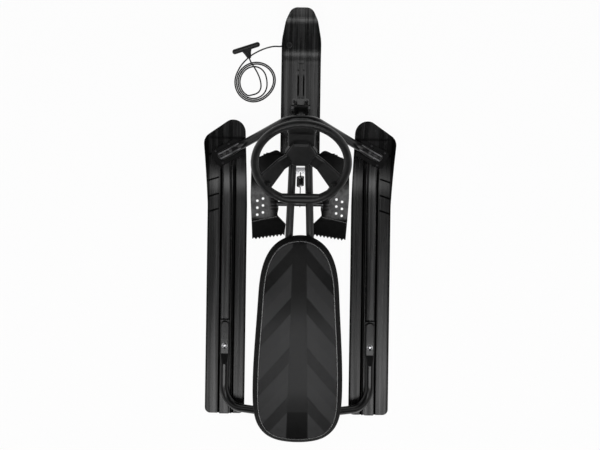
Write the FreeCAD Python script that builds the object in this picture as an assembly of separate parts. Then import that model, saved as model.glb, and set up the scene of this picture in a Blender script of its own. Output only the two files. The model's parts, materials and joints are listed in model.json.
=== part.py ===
import FreeCAD, Part
import math
import os

from FreeCAD import Vector as V

# Three-ski steering sled. Millimetres, X to the rider's right, Y forward, Z up from the snow.

# Side skis
SKI_SPACING = 394.0
SKI_HALF_WIDTH = 54.0
SKI_REAR_Y = -529.5
SKI_TIP_Y = 268.0
SKI_PLATE = 8.0
SKI_EDGE = 4.0
SKI_CROWN_X = 24.0
SKI_CHAMFER = 2.5
SKI_BEND_Y = 42.0
SKI_BEND_RADIUS = 330.0
SKI_NOSE_ANGLE = 24.0
SKI_REAR_CORNER = 15.0
RIB_HEIGHT = 26.0
RIB_TOP_HALF = 11.0
RIB_BASE_HALF = 14.0
RIB_OFFSET = 1.0
RIB_WALL = 4.5
BEAD_HEIGHT = 12.0
BEAD_HALF = 2.2
SADDLE_HEIGHT = 17.0
SADDLE_RAMP = 6.0
SKI_GROOVE_DEPTH = 4.8
SHOULDER_DROP = 47.0
SHOULDER_OUT = 10.0
NOSE_OFFSET = 8.0
NOSE_INSET = 5.0
FLARE_ROUND = 300.0
SHOULDER_ROUND = 30.0
NOSE_ROUND = 26.0
INNER_NOSE_ROUND = 32.0

# Foot saddle on each side ski
PAD_TOP = 58.0
PAD_HALF_WIDTH = 25.0
PAD_START = 14.0
PAD_END = 96.0
PAD_CORNER = 12.0

# Front ski
FRONT_TIP_Y = 574.5
FRONT_REAR_Y = 166.0
FRONT_HALF_WIDTH = 54.0
FRONT_PLATE = 8.0
FRONT_BEND_Y = 430.0
FRONT_BEND_RADIUS = 95.0
FRONT_NOSE_ANGLE = 27.0
FRONT_NOSE_RUN = 70.0
FRONT_LIP_RADIUS = 70.0
FRONT_LIP_ANGLE = 8.0
FRONT_SHOULDER = 84.5
FRONT_CHEEK = 34.5
FRONT_CHEEK_INSET = 10.5
FRONT_TIP_INSET = 27.0
FRONT_REAR_ROUND = 22.0
FRONT_SHOULDER_ROUND = 140.0
FRONT_CHEEK_ROUND = 70.0
FRONT_TIP_ROUND = 24.0
FRONT_RIB_GAP = 1.5
FRONT_RIB_END_Y = 402.0
FRONT_RIB_HEIGHT = 9.0
CLEAT_Y = 423.0
CLEAT_LENGTH = 26.0
CLEAT_GAP = 11.0
CLEAT_FIN = 4.0
CLEAT_HEIGHT = 11.0

# Tubes
MAIN_RADIUS = 10.0
MAIN_WALL = 1.5
HOOP_RADIUS = 11.0
HOOP_WALL = 1.5
MAIN_FRONT_Y = 190.3
MAIN_FRONT_Z = 188.0
MAIN_REAR_Y = -522.0
MAIN_SLOPE = 0.0693
MAIN_FRONT_HALF = 19.0
MAIN_SPREAD = 0.0348
WELD_SINK = 1.5
FLAT_THICKNESS = 9.0
FLAT_WIDTH = 26.0

# Front arch
ARCH_Y = 259.5
ARCH_Z = 189.0
ARCH_CROWN_HALF = 32.0
ARCH_FOOT_X = 146.0
ARCH_FOOT_Y = 207.0
ARCH_END_X = 220.0
ARCH_END_Y = 167.5
ARCH_CROWN_BEND = 60.0
ARCH_FOOT_BEND = 42.0
FOOT_GROOVE_START = 42.0
FOOT_GROOVE_END = 80.0
FOOT_GROOVE_HALF = 4.7
FOOT_GROOVE_DEPTH = 3.4
FOOT_SCREW_RADIUS = 2.5
FOOT_SCREW_HEAD = 4.2
FOOT_SCREW_DOME = 2.4
FOOT_SCREW_BITE = 12.0
SADDLE_SCREW_RADIUS = 1.6
SADDLE_SCREW_HEAD = 3.6
SADDLE_SCREW_DOME = 2.2
SADDLE_SCREW_BITE = 9.0
SADDLE_SCREW_RUNS = (82.0, 42.0, 80.0)
SADDLE_SCREW_SIDE = 19.0
SCREW_HOLE_SPARE = 0.5

# Rear hoop
HOOP_LEAD = 16.0
HOOP_Y = MAIN_REAR_Y + HOOP_LEAD
HOOP_CROWN_HALF = 58.0
HOOP_CORNER_BEND = 58.0
HOOP_CROWN_BEND = 70.0
HOOP_END_GAP = 1.5
HOOP_RUN = 114.0
HOOP_ROUND_Y = HOOP_Y + HOOP_RUN
HOOP_NECK = 28.0
HOOP_FLAT_END_Y = HOOP_ROUND_Y + HOOP_NECK
HOOP_BOLT_LEAD = 21.0
HOOP_BOLT_Y = HOOP_FLAT_END_Y + HOOP_BOLT_LEAD
SADDLE_LEAD = 75.0
SADDLE_START_Y = HOOP_BOLT_Y + SADDLE_LEAD
HOOP_BOLT_RADIUS = 4.0
HOOP_BOLT_SPARE = 0.1
HOOP_NUT_SINK = 1.5
HOOP_NUT_RADIUS = 7.5
HOOP_NUT_HEIGHT = 6.0
HOOP_NUT_SPARE = 0.2
PLUG_CAP = 3.0
PLUG_STEM = 14.0
HOOP_BOLT_HEAD = 8.0
HOOP_BOLT_DOME = 4.2

# Steering
WHEEL_Y = 139.0
WHEEL_Z = 300.0
STEER_TILT = 38.0
RIM_RADIUS = 114.5
RIM_HALF_WIDTH = 10.0
RIM_HALF_DEPTH = 11.5
RIM_FLAT_CUT = 4.5
RIM_FLAT = RIM_RADIUS - RIM_FLAT_CUT
RIM_CORNER = 60.0
HUB_CORNER_RADIUS = 40.0
HUB_TOP = -44.0
HUB_BOTTOM = -62.0
BOSS_RADIUS = 20.0
BOSS_BOTTOM = -84.0
COVER_HEIGHT = 11.0
SPOKE_THICKNESS = 11.0
TOP_SPOKE_HUB_HALF = 34.0
TOP_SPOKE_RIM_HALF = 39.0
LOW_SPOKE_HUB_HALF = 17.0
LOW_SPOKE_RIM_HALF = 25.0
LOW_SPOKE_ANGLE = 56.0
COLUMN_RADIUS = 11.0
COLUMN_WALL = 2.0
COLUMN_TOP = -52.0
COLUMN_BOTTOM = -233.0
COLUMN_FIT = 0.08
HEAD_RADIUS = 17.0
HEAD_WALL = 2.5
HEAD_TOP = -92.0
HEAD_BOTTOM = -190.0
BUSH_FLANGE = 3.0
BUSH_LENGTH = 18.0
COLLAR_RADIUS = 16.0
COLLAR_HEIGHT = 10.0
COLLAR_GAP = 0.4
CLAMP_BOLT_Z = -71.0
CLAMP_BOLT_RADIUS = 3.0
CROSS_TUBE_RADIUS = 13.0
CROSS_TUBE_WALL = 2.0
CROSS_TUBE_HALF = 36.0
CROSS_TUBE_T = -120.0

# Front ski pivot
PIVOT_Y = 304.0
PIVOT_Z = 62.0
FORK_INNER_HALF = 13.5
FORK_PLATE = 5.0
FORK_EYE_RADIUS = 14.0
FORK_CROWN_RADIUS = 19.0
FORK_CROWN_PLATE = 6.0
PIVOT_RADIUS = 4.0
PIVOT_FIT = 0.06
BRACKET_EAR_HALF = 12.8
BRACKET_PLATE = 3.0
BRACKET_LENGTH = 62.0
BRACKET_HALF_WIDTH = 23.0
BRACKET_CORNER = 5.0
BRACKET_SCREW_X = 17.6
BRACKET_SCREW_Y = 22.0

# Brake
AXLE_Y = 166.0
AXLE_Z = 132.0
AXLE_RADIUS = 5.0
AXLE_FIT = 0.06
AXLE_CAP_PLAY = 0.6
AXLE_CAP_END = 2.0
AXLE_CAP_RADIUS = 8.0
AXLE_HALF = 95.0
HANGER_PLATE = 4.0
HANGER_BACK = 24.0
HANGER_FRONT = 9.0
HANGER_EYE = 11.0
PEDAL_PLATE = 5.0
PEDAL_BOSS_RADIUS = 11.0
PEDAL_INNER_X = 38.0
PEDAL_OUTER_X = 90.0
TOE_Y = 184.0
TOE_Z = 152.0
TOE_BACK = 12.0
TOE_BEND = 14.0
TOE_LEAN = 4.0
TOE_RISE = 16.0
CREASE_Y = 0.0
CREASE_Z = 96.0
CREASE_BEND = 12.0
CLAW_Y = -53.0
CLAW_Z = 37.0
CLAW_REACH = 4.0
CLAW_DROP = 4.7
TOOTH_PITCH = 9.6
TOOTH_DEPTH = 6.0
TREAD_HOLE_RADIUS = 3.4
TREAD_PITCH = 18.3
TREAD_ROWS = ((112.0, 14.5), (97.0, 20.5))
PEDAL_RIB_X = (84.0, 106.0)
PEDAL_RIB = 4.0
TIE_Y = 43.0
TIE_Z = 150.0
TIE_RADIUS = 6.0
TIE_HALF = 74.0
TIE_BOSS_RADIUS = 10.0
TIE_BOSS_X = 60.0
TIE_BOSS_LENGTH = 16.0
TIE_POST_HALF = 17.0
CLIP_PLATE = 3.0
CLIP_RIM = 4.0
BUFFER_HALF = 7.0
BUFFER_GAP = 0.3

# Return spring
ANCHOR_Y = 124.0
SPRING_WIRE = 1.3
SPRING_COIL_RADIUS = 8.5
SPRING_TURNS = 6
SPRING_PITCH = 4.2
SPRING_LEAD = 12.0
SHANK_LEAD = 7.0
HOOK_GAP = 0.35
HOOK_RADIUS = 4.6
HOOK_HOLE_RADIUS = 3.0
ANCHOR_WEB = 1.6
ANCHOR_LENGTH = 17.0

# Seat, in a frame that lies along the main tubes
SEAT_FRONT_Y = -36.5
SEAT_REAR_Y = -574.8
SEAT_HALF_WIDTH = 115.5
SHELL_BOTTOM = 14.0
SHELL_HEIGHT = 34.0
SHELL_INSET = 10.0
SHELL_WALL = 4.0
SHELL_TUCK = 1.5
SHELL_LIP = 5.0
SHELL_BELLY = 12.0
PAD_INSET = 13.0
PAD_DECK = 41.0
PAD_EDGE = 49.0
PAD_CROWN = 60.0
PAD_GAP = 0.4
PAD_ROUND = 2.5
PAD_RISE = 22.0
STRAP_PLATE = 3.0
STRAP_FRONT_Y = -125.0
STRAP_REAR_LEAD = 92.0
STRAP_REAR_Y = MAIN_REAR_Y + STRAP_REAR_LEAD
STRAP_HALF_LENGTH = 74.0
STRAP_HALF_WIDTH = 16.0
SEAT_SCREW_X = 60.0
SEAT_SCREW_RADIUS = 2.45
SEAT_SCREW_LENGTH = 16.0
SEAT_SCREW_FIT = 0.05
SEAT_SCREW_HEAD = 3.5
SEAT_BOSS_RADIUS = 8.0

# Cord
CORD_RADIUS = 2.0
CORD_LIE = 2.2
COIL_X = -125.0
COIL_Y = 380.0
COIL_RADIUS = 57.0
COIL_STEP = 5.4
COIL_START_DEG = 150.0
COIL_SWEEP_DEG = 1170.0
COIL_DENT = 9.0
COIL_DENT_DEG = 315.0
COIL_PULL = 15.0
COIL_PULL_DEG = 20.0
HANDLE_X = -151.5
HANDLE_Y = 471.5
HANDLE_ANGLE = 18.6
HANDLE_HALF = 39.5
HANDLE_RADIUS = 7.0
NECK_LENGTH = 30.0
NECK_TIP_Z = 11.0
CORD_HOLE_X = -33.0
CORD_HOLE_Y = 483.0


def rotated(shape, centre, axis, degrees):
    """A copy of the shape turned about an axis through a point."""
    copy = shape.copy()
    copy.rotate(centre, axis, degrees)
    return copy


def moved(shape, offset):
    """A copy of the shape shifted by a vector."""
    copy = shape.copy()
    copy.translate(offset)
    return copy


def mirrored(shape):
    """The same piece for the other side of the sled."""
    return shape.mirror(V(0, 0, 0), V(1, 0, 0))


def rod(start, end, radius):
    """A solid cylinder between two points."""
    return Part.makeCylinder(radius, (end - start).Length, start, end - start)


def pipe(start, end, radius, wall):
    """A straight hollow tube between two points."""
    return rod(start, end, radius).cut(rod(start, end, radius - wall))


def block(x0, x1, y0, y1, z0, z1):
    """A box from its lower and upper limits."""
    return Part.makeBox(x1 - x0, y1 - y0, z1 - z0, V(x0, y0, z0))


def polygon(points):
    """A closed wire through points."""
    return Part.makePolygon(points + [points[0]])


def prism(points, along):
    """A straight solid on a polygon."""
    return Part.Face(polygon(points)).extrude(along)


def rounded_wire(corners, closed=True):
    """A wire of straight runs and tangent arcs from (point, radius) corners."""
    count = len(corners)
    starts = []
    ends = []
    mids = []
    for index in range(count):
        point, radius = corners[index]
        if radius == 0 or (not closed and index in (0, count - 1)):
            starts.append(point)
            ends.append(point)
            mids.append(None)
            continue
        before = (corners[index - 1][0] - point).normalize()
        after = (corners[(index + 1) % count][0] - point).normalize()
        half = before.getAngle(after) / 2
        reach = radius / math.tan(half)
        centre = point + (before + after).normalize() * (radius / math.sin(half))
        starts.append(point + before * reach)
        ends.append(point + after * reach)
        mids.append(centre + (point - centre).normalize() * radius)
    edges = []
    for index in range(count):
        if mids[index] is not None:
            edges.append(Part.Arc(starts[index], mids[index], ends[index]).toShape())
        if index == count - 1 and not closed:
            break
        target = starts[(index + 1) % count]
        if (target - ends[index]).Length > 1e-6:
            edges.append(Part.LineSegment(ends[index], target).toShape())
    return Part.Wire(edges)


def rounded_prism(corners, along):
    """A straight solid on an outline with rounded corners."""
    return Part.Face(rounded_wire(corners)).extrude(along)


def sweep(path, section):
    """A solid swept along a path by one closed wire."""
    return path.makePipeShell([section], True, False)


def circle_at(point, normal, radius):
    """A round section wire."""
    return Part.Wire(Part.makeCircle(radius, point, normal))


def bent_tube(path, start, heading, radius, wall):
    """A hollow round tube along a path of lines and arcs."""
    outer = sweep(path, circle_at(start, heading, radius))
    inner = sweep(path, circle_at(start, heading, radius - wall))
    return outer.cut(inner)


def stadium(centre, across, up, width, height):
    """A flat section with half-round ends."""
    radius = height / 2
    side = across * (width / 2 - radius)
    lift = up * radius
    edges = [
        Part.LineSegment(centre - side + lift, centre + side + lift).toShape(),
        Part.Arc(centre + side + lift, centre + side + across * radius, centre + side - lift).toShape(),
        Part.LineSegment(centre + side - lift, centre - side - lift).toShape(),
        Part.Arc(centre - side - lift, centre - side - across * radius, centre - side + lift).toShape(),
    ]
    return Part.Wire(edges)


def biarc(p0, t0, p1, t1):
    """Two tangent arcs between two points with given headings."""
    chord = p1 - p0
    total = t0 + t1
    bend = 2 * (1 - t0.dot(t1))
    along = chord.dot(total)
    if bend < 1e-9:
        reach = chord.dot(chord) / (4 * chord.dot(t1))
    else:
        reach = (-along + math.sqrt(along * along + 2 * bend * chord.dot(chord) / 2)) / bend
    joint = (p0 + p1 + (t0 - t1) * reach) * 0.5
    return [arc_from(p0, t0, joint), arc_to(joint, p1, t1)]


def arc_from(start, heading, end):
    """An arc that leaves start along a heading."""
    chord = end - start
    side = chord - heading * chord.dot(heading)
    if side.Length < 1e-6:
        return Part.LineSegment(start, end).toShape()
    radius = chord.dot(chord) / (2 * side.Length)
    centre = start + side.normalize() * radius
    middle = centre + ((start + end) * 0.5 - centre).normalize() * radius
    return Part.Arc(start, middle, end).toShape()


def arc_to(start, end, heading):
    """An arc that reaches end along a heading."""
    chord = start - end
    back = heading * -1
    side = chord - back * chord.dot(back)
    if side.Length < 1e-6:
        return Part.LineSegment(start, end).toShape()
    radius = chord.dot(chord) / (2 * side.Length)
    centre = end + side.normalize() * radius
    middle = centre + ((start + end) * 0.5 - centre).normalize() * radius
    return Part.Arc(start, middle, end).toShape()


def biarc_wire(knots):
    """A smooth wire through (point, heading) knots."""
    edges = []
    for (p0, t0), (p1, t1) in zip(knots, knots[1:]):
        edges.extend(biarc(p0, t0, p1, t1))
    return Part.Wire(edges)


def cord_route(points):
    """Straight runs joined by tangent arcs, each arc as wide as its shorter run allows."""
    corners = [(points[0], 0)]
    radii = []
    for before, point, after in zip(points, points[1:], points[2:]):
        run = min((point - before).Length, (after - point).Length)
        turn = (point - before).getAngle(after - point)
        radius = 0.45 * run / math.tan(turn / 2)
        corners.append((point, radius))
        radii.append(radius)
    corners.append((points[-1], 0))
    return rounded_wire(corners, closed=False), radii


def dome_screw(top, head_radius, head_height, shank_radius, length):
    """A screw with a domed head that stands on a face and points down."""
    sphere_radius = (head_radius ** 2 + head_height ** 2) / (2 * head_height)
    ball = Part.makeSphere(sphere_radius, top + V(0, 0, head_height - sphere_radius))
    head = ball.common(Part.makeCylinder(head_radius, head_height, top))
    shank = Part.makeCylinder(shank_radius, length, top - V(0, 0, length))
    return head.fuse(shank).removeSplitter()


def hexagon(centre, along, radius, length, turn=0.0):
    """A hexagonal solid, radius to its corners."""
    direction = V(along).normalize()
    side = direction.cross(V(0, 0, 1))
    if side.Length < 1e-6:
        side = V(1, 0, 0)
    side.normalize()
    other = direction.cross(side)
    corners = []
    for index in range(6):
        angle = math.radians(60 * index + turn)
        corners.append(centre + side * (radius * math.cos(angle)) + other * (radius * math.sin(angle)))
    return prism(corners, direction * length)


# Steering frame: local Z is the column's axis, local origin is the rim's centre.

def steer_point(across, up, height):
    """A point of the steering frame in the sled's frame."""
    tilt = math.radians(STEER_TILT)
    y = WHEEL_Y + up * math.cos(tilt) - height * math.sin(tilt)
    z = WHEEL_Z + up * math.sin(tilt) + height * math.cos(tilt)
    return V(across, y, z)


def steer_place(shape):
    """Put a shape drawn in the steering frame into the sled's frame."""
    return moved(rotated(shape, V(0, 0, 0), V(1, 0, 0), STEER_TILT), V(0, WHEEL_Y, WHEEL_Z))


# Seat frame: local Z is square to the main tubes, local zero is on their centre lines.

SLOPE_DEG = math.degrees(math.atan(MAIN_SLOPE))


def seat_place(shape):
    """Put a shape drawn in the seat frame into the sled's frame."""
    turned = rotated(shape, V(0, MAIN_FRONT_Y, 0), V(1, 0, 0), SLOPE_DEG)
    return moved(turned, V(0, 0, MAIN_FRONT_Z))


def main_height(y):
    """Height of the main tubes' centre lines."""
    return MAIN_FRONT_Z - (MAIN_FRONT_Y - y) * MAIN_SLOPE


def main_half(y):
    """Distance of a main tube's centre line from the middle plane."""
    return MAIN_FRONT_HALF + (MAIN_FRONT_Y - y) * MAIN_SPREAD


def main_point(y):
    """A point on the right main tube's centre line."""
    return V(main_half(y), y, main_height(y))


def make_main_tube():
    """The right main tube, coped to the head cross tube."""
    tube = pipe(main_point(MAIN_FRONT_Y), main_point(MAIN_REAR_Y), MAIN_RADIUS, MAIN_WALL)
    centre = cross_tube_centre()
    cope = rod(centre - V(60, 0, 0), centre + V(60, 0, 0), CROSS_TUBE_RADIUS)
    return biggest(tube.cut(cope))


def biggest(shape):
    """The largest solid of a cut."""
    return max(shape.Solids, key=lambda solid: solid.Volume)


def make_tube_plugs():
    """Plastic plugs in the rear ends of the main tubes."""
    plugs = []
    end = main_point(MAIN_REAR_Y)
    heading = (main_point(MAIN_REAR_Y) - main_point(0)).normalize()
    cap = rod(end, end + heading * PLUG_CAP, MAIN_RADIUS)
    stem = rod(end - heading * PLUG_STEM, end, MAIN_RADIUS - MAIN_WALL)
    plug = cap.fuse(stem).removeSplitter()
    plugs.append(plug)
    plugs.append(mirrored(plug))
    return Part.makeCompound(plugs)


def cross_tube_centre():
    """Where the head cross tube meets the back of the head tube."""
    return steer_point(0, -(HEAD_RADIUS + CROSS_TUBE_RADIUS - WELD_SINK), CROSS_TUBE_T)


def head_solid():
    """The head tube's outside."""
    return rod(steer_point(0, 0, HEAD_BOTTOM), steer_point(0, 0, HEAD_TOP), HEAD_RADIUS)


def make_cross_tube():
    """The cross tube behind the head tube."""
    centre = cross_tube_centre()
    reach = V(CROSS_TUBE_HALF, 0, 0)
    tube = pipe(centre - reach, centre + reach, CROSS_TUBE_RADIUS, CROSS_TUBE_WALL)
    return biggest(tube.cut(head_solid()))


def make_head_tube():
    """The head tube that carries the steering bushes."""
    bottom = steer_point(0, 0, HEAD_BOTTOM)
    return pipe(bottom, steer_point(0, 0, HEAD_TOP), HEAD_RADIUS, HEAD_WALL)


def make_bush(face, inward):
    """A flanged plastic bush in one end of the head tube."""
    bore = HEAD_RADIUS - HEAD_WALL
    flange = rod(V(0, 0, face), V(0, 0, face - inward * BUSH_FLANGE), HEAD_RADIUS + 1)
    body = rod(V(0, 0, face), V(0, 0, face + inward * BUSH_LENGTH), bore)
    hole = rod(V(0, 0, face - 60), V(0, 0, face + 60), COLUMN_RADIUS + COLUMN_FIT)
    return steer_place(flange.fuse(body).cut(hole).removeSplitter())


def arch_points():
    """Corner points of the right half of the front arch."""
    along = V(ARCH_END_X - ARCH_FOOT_X, ARCH_END_Y - ARCH_FOOT_Y, 0)
    crown = V(ARCH_CROWN_HALF, ARCH_Y, ARCH_Z)
    foot = V(ARCH_FOOT_X, ARCH_FOOT_Y, PAD_TOP + HOOP_RADIUS)
    return crown, foot, along.normalize()


def flattened_end(start, along, round_length, flat_length, lift):
    """A tube end that is crushed flat on its underside's level."""
    across = along.cross(V(0, 0, 1)).normalize()
    up = V(0, 0, 1)
    low = start + along * round_length - up * (HOOP_RADIUS - FLAT_THICKNESS / 2 - lift)
    round_section = stadium(start, across, up, 2 * HOOP_RADIUS + 0.02, 2 * HOOP_RADIUS)
    flat_section = stadium(low, across, up, FLAT_WIDTH, FLAT_THICKNESS)
    neck = Part.makeLoft([round_section, flat_section], True, False)
    flat = Part.Face(flat_section).extrude(along * flat_length)
    tip = low + along * flat_length
    reach = across * (FLAT_WIDTH - FLAT_THICKNESS) * 0.5
    rise = up * (FLAT_THICKNESS / 2)
    half_section = Part.Wire([
        Part.LineSegment(tip + rise, tip + reach + rise).toShape(),
        Part.Arc(tip + reach + rise, tip + across * (FLAT_WIDTH / 2), tip + reach - rise).toShape(),
        Part.LineSegment(tip + reach - rise, tip - rise).toShape(),
        Part.LineSegment(tip - rise, tip + rise).toShape(),
    ])
    nose = Part.Face(half_section).revolve(tip, up, 180)
    return neck.fuse([flat, nose]).removeSplitter()


def make_front_arch():
    """The bent tube across the front, with a crushed foot on each side ski."""
    crown, foot, along = arch_points()
    start = foot + along * 24
    corners = [
        (V(-start.x, start.y, start.z), 0),
        (V(-foot.x, foot.y, foot.z), ARCH_FOOT_BEND),
        (V(-crown.x, crown.y, crown.z), ARCH_CROWN_BEND),
        (crown, ARCH_CROWN_BEND),
        (foot, ARCH_FOOT_BEND),
        (start, 0),
    ]
    path = rounded_wire(corners, closed=False)
    heading = V(along.x, -along.y, 0)
    tube = bent_tube(path, corners[0][0], heading, HOOP_RADIUS, HOOP_WALL)
    length = (V(ARCH_END_X, ARCH_END_Y, 0) - V(start.x, start.y, 0)).Length
    end = flattened_end(start, along, 20, length - 20 - FLAT_WIDTH / 2, 0)
    end = end.cut(foot_groove())
    for hole in arch_screw_points():
        end = end.cut(Part.makeCylinder(2.6, 40, hole - V(0, 0, 20)))
    arch = tube.fuse([end, mirrored(end)]).removeSplitter()
    return biggest(arch.cut(head_solid()))


def foot_groove():
    """The pressed channel along the top of the right crushed foot."""
    crown, foot, along = arch_points()
    across = V(-along.y, along.x, 0)
    base = V(foot.x, foot.y, PAD_TOP + FLAT_THICKNESS - FOOT_GROOVE_DEPTH)
    corners = []
    near = FOOT_GROOVE_START
    far = FOOT_GROOVE_END
    for reach, side in ((near, -1), (far, -1), (far, 1), (near, 1)):
        spot = base + along * reach + across * (side * FOOT_GROOVE_HALF)
        corners.append((spot, FOOT_GROOVE_HALF - 0.1))
    return rounded_prism(corners, V(0, 0, 30))


def arch_screw_points():
    """Screw places on the right crushed foot, on the floor of its channel."""
    crown, foot, along = arch_points()
    level = PAD_TOP + FLAT_THICKNESS - FOOT_GROOVE_DEPTH
    near = foot + along * 56
    far = foot + along * 74
    return [V(near.x, near.y, level), V(far.x, far.y, level)]


def saddle_screw_points():
    """Small screw places beside the right crushed foot, on the ski's saddle."""
    crown, foot, along = arch_points()
    across = V(-along.y, along.x, 0)
    base = V(foot.x, foot.y, PAD_TOP)
    return [
        base + along * SADDLE_SCREW_RUNS[0] + across * SADDLE_SCREW_SIDE,
        base + along * SADDLE_SCREW_RUNS[1] + across * SADDLE_SCREW_SIDE,
        base + along * SADDLE_SCREW_RUNS[2] - across * SADDLE_SCREW_SIDE,
    ]


def make_foot_screws():
    """Dome screws through the crushed feet of the arch."""
    screws = []
    for point in arch_screw_points():
        length = FLAT_THICKNESS - FOOT_GROOVE_DEPTH + FOOT_SCREW_BITE
        screw = dome_screw(point, FOOT_SCREW_HEAD, FOOT_SCREW_DOME, FOOT_SCREW_RADIUS, length)
        screws.append(screw)
        screws.append(mirrored(screw))
    return Part.makeCompound(screws)


def make_saddle_screws():
    """Small dome screws on the saddles of the side skis."""
    screws = []
    for point in saddle_screw_points():
        head = SADDLE_SCREW_HEAD
        screw = dome_screw(point, head, SADDLE_SCREW_DOME, SADDLE_SCREW_RADIUS, SADDLE_SCREW_BITE)
        screws.append(screw)
        screws.append(mirrored(screw))
    return Part.makeCompound(screws)


def hoop_crown_height():
    """Centre height of the rear hoop's crossing, sunk a little into the main tubes' undersides."""
    return main_height(HOOP_Y) - MAIN_RADIUS - HOOP_RADIUS + WELD_SINK


def make_rear_hoop():
    """The bent tube across the back, with a crushed foot bolted to each side ski."""
    x = SKI_SPACING / 2 + RIB_OFFSET
    level = SADDLE_HEIGHT + HOOP_RADIUS
    top = hoop_crown_height()
    right = [
        (V(HOOP_CROWN_HALF, HOOP_Y, top), HOOP_CROWN_BEND),
        (V(x, HOOP_Y, level), HOOP_CORNER_BEND),
        (V(x, HOOP_ROUND_Y, level), 0),
    ]
    left = [(V(-point.x, point.y, point.z), radius) for point, radius in reversed(right)]
    path = rounded_wire(left + right, closed=False)
    tube = bent_tube(path, left[0][0], V(0, -1, 0), HOOP_RADIUS, HOOP_WALL)
    start = V(x, HOOP_ROUND_Y, level)
    flat_start_y = SADDLE_START_Y - SADDLE_RAMP - HOOP_END_GAP
    flat_length = flat_start_y - HOOP_FLAT_END_Y - FLAT_WIDTH / 2
    end = flattened_end(start, V(0, 1, 0), HOOP_FLAT_END_Y - HOOP_ROUND_Y, flat_length, 0)
    hole = Part.makeCylinder(HOOP_BOLT_RADIUS + HOOP_BOLT_SPARE, 60, V(x, HOOP_BOLT_Y, -10))
    end = end.cut(hole)
    hoop = tube.fuse([end, mirrored(end)]).removeSplitter()
    for side in (1, -1):
        front = main_point(MAIN_FRONT_Y)
        rear = main_point(MAIN_REAR_Y)
        outside = rod(V(side * front.x, front.y, front.z), V(side * rear.x, rear.y, rear.z), MAIN_RADIUS)
        hoop = hoop.cut(outside)
    return biggest(hoop)


def make_hoop_bolts():
    """Dome-head bolts through the crushed feet of the rear hoop."""
    x = SKI_SPACING / 2 + RIB_OFFSET
    top = SADDLE_HEIGHT + FLAT_THICKNESS
    bolt = dome_screw(V(x, HOOP_BOLT_Y, top), HOOP_BOLT_HEAD, HOOP_BOLT_DOME, HOOP_BOLT_RADIUS, top - 2)
    return Part.makeCompound([bolt, mirrored(bolt)])


def make_hoop_nuts():
    """Hexagon nuts in pockets under the side skis."""
    x = SKI_SPACING / 2 + RIB_OFFSET
    nut = hexagon(V(x, HOOP_BOLT_Y, HOOP_NUT_SINK), V(0, 0, 1), HOOP_NUT_RADIUS, HOOP_NUT_HEIGHT)
    nut = nut.cut(Part.makeCylinder(HOOP_BOLT_RADIUS + 0.02, 20, V(x, HOOP_BOLT_Y, -5)))
    return Part.makeCompound([nut, mirrored(nut)])


def ski_path(x, rear_y, bend_y, radius, angle, run):
    """Running line of a ski: flat, a bend upwards and a straight rise."""
    turn = math.radians(angle)
    start = V(x, rear_y, 0)
    bend = V(x, bend_y, 0)
    middle = V(x, bend_y + radius * math.sin(turn / 2), radius * (1 - math.cos(turn / 2)))
    rise = V(x, bend_y + radius * math.sin(turn), radius * (1 - math.cos(turn)))
    end = rise + V(0, math.cos(turn), math.sin(turn)) * run
    edges = [
        Part.LineSegment(start, bend).toShape(),
        Part.Arc(bend, middle, rise).toShape(),
    ]
    if run:
        edges.append(Part.LineSegment(rise, end).toShape())
    return Part.Wire(edges), end


def side_ski_plate_section(x, y):
    """Flanges of the right side ski: crowned outside, flat inside."""
    outer = x + SKI_HALF_WIDTH + 12
    inner = x - SKI_HALF_WIDTH
    crown = x + SKI_CROWN_X
    edges = [
        Part.LineSegment(V(inner, y, 0), V(outer, y, 0)).toShape(),
        Part.LineSegment(V(outer, y, 0), V(outer, y, SKI_EDGE)).toShape(),
        Part.Arc(V(outer, y, SKI_EDGE), V(crown + 19, y, SKI_PLATE - 0.6), V(crown, y, SKI_PLATE)).toShape(),
        Part.LineSegment(V(crown, y, SKI_PLATE), V(inner + SKI_CHAMFER, y, SKI_PLATE)).toShape(),
        Part.LineSegment(
            V(inner + SKI_CHAMFER, y, SKI_PLATE), V(inner, y, SKI_PLATE - SKI_CHAMFER)
        ).toShape(),
        Part.LineSegment(V(inner, y, SKI_PLATE - SKI_CHAMFER), V(inner, y, 0)).toShape(),
    ]
    return Part.Wire(edges)


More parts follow.
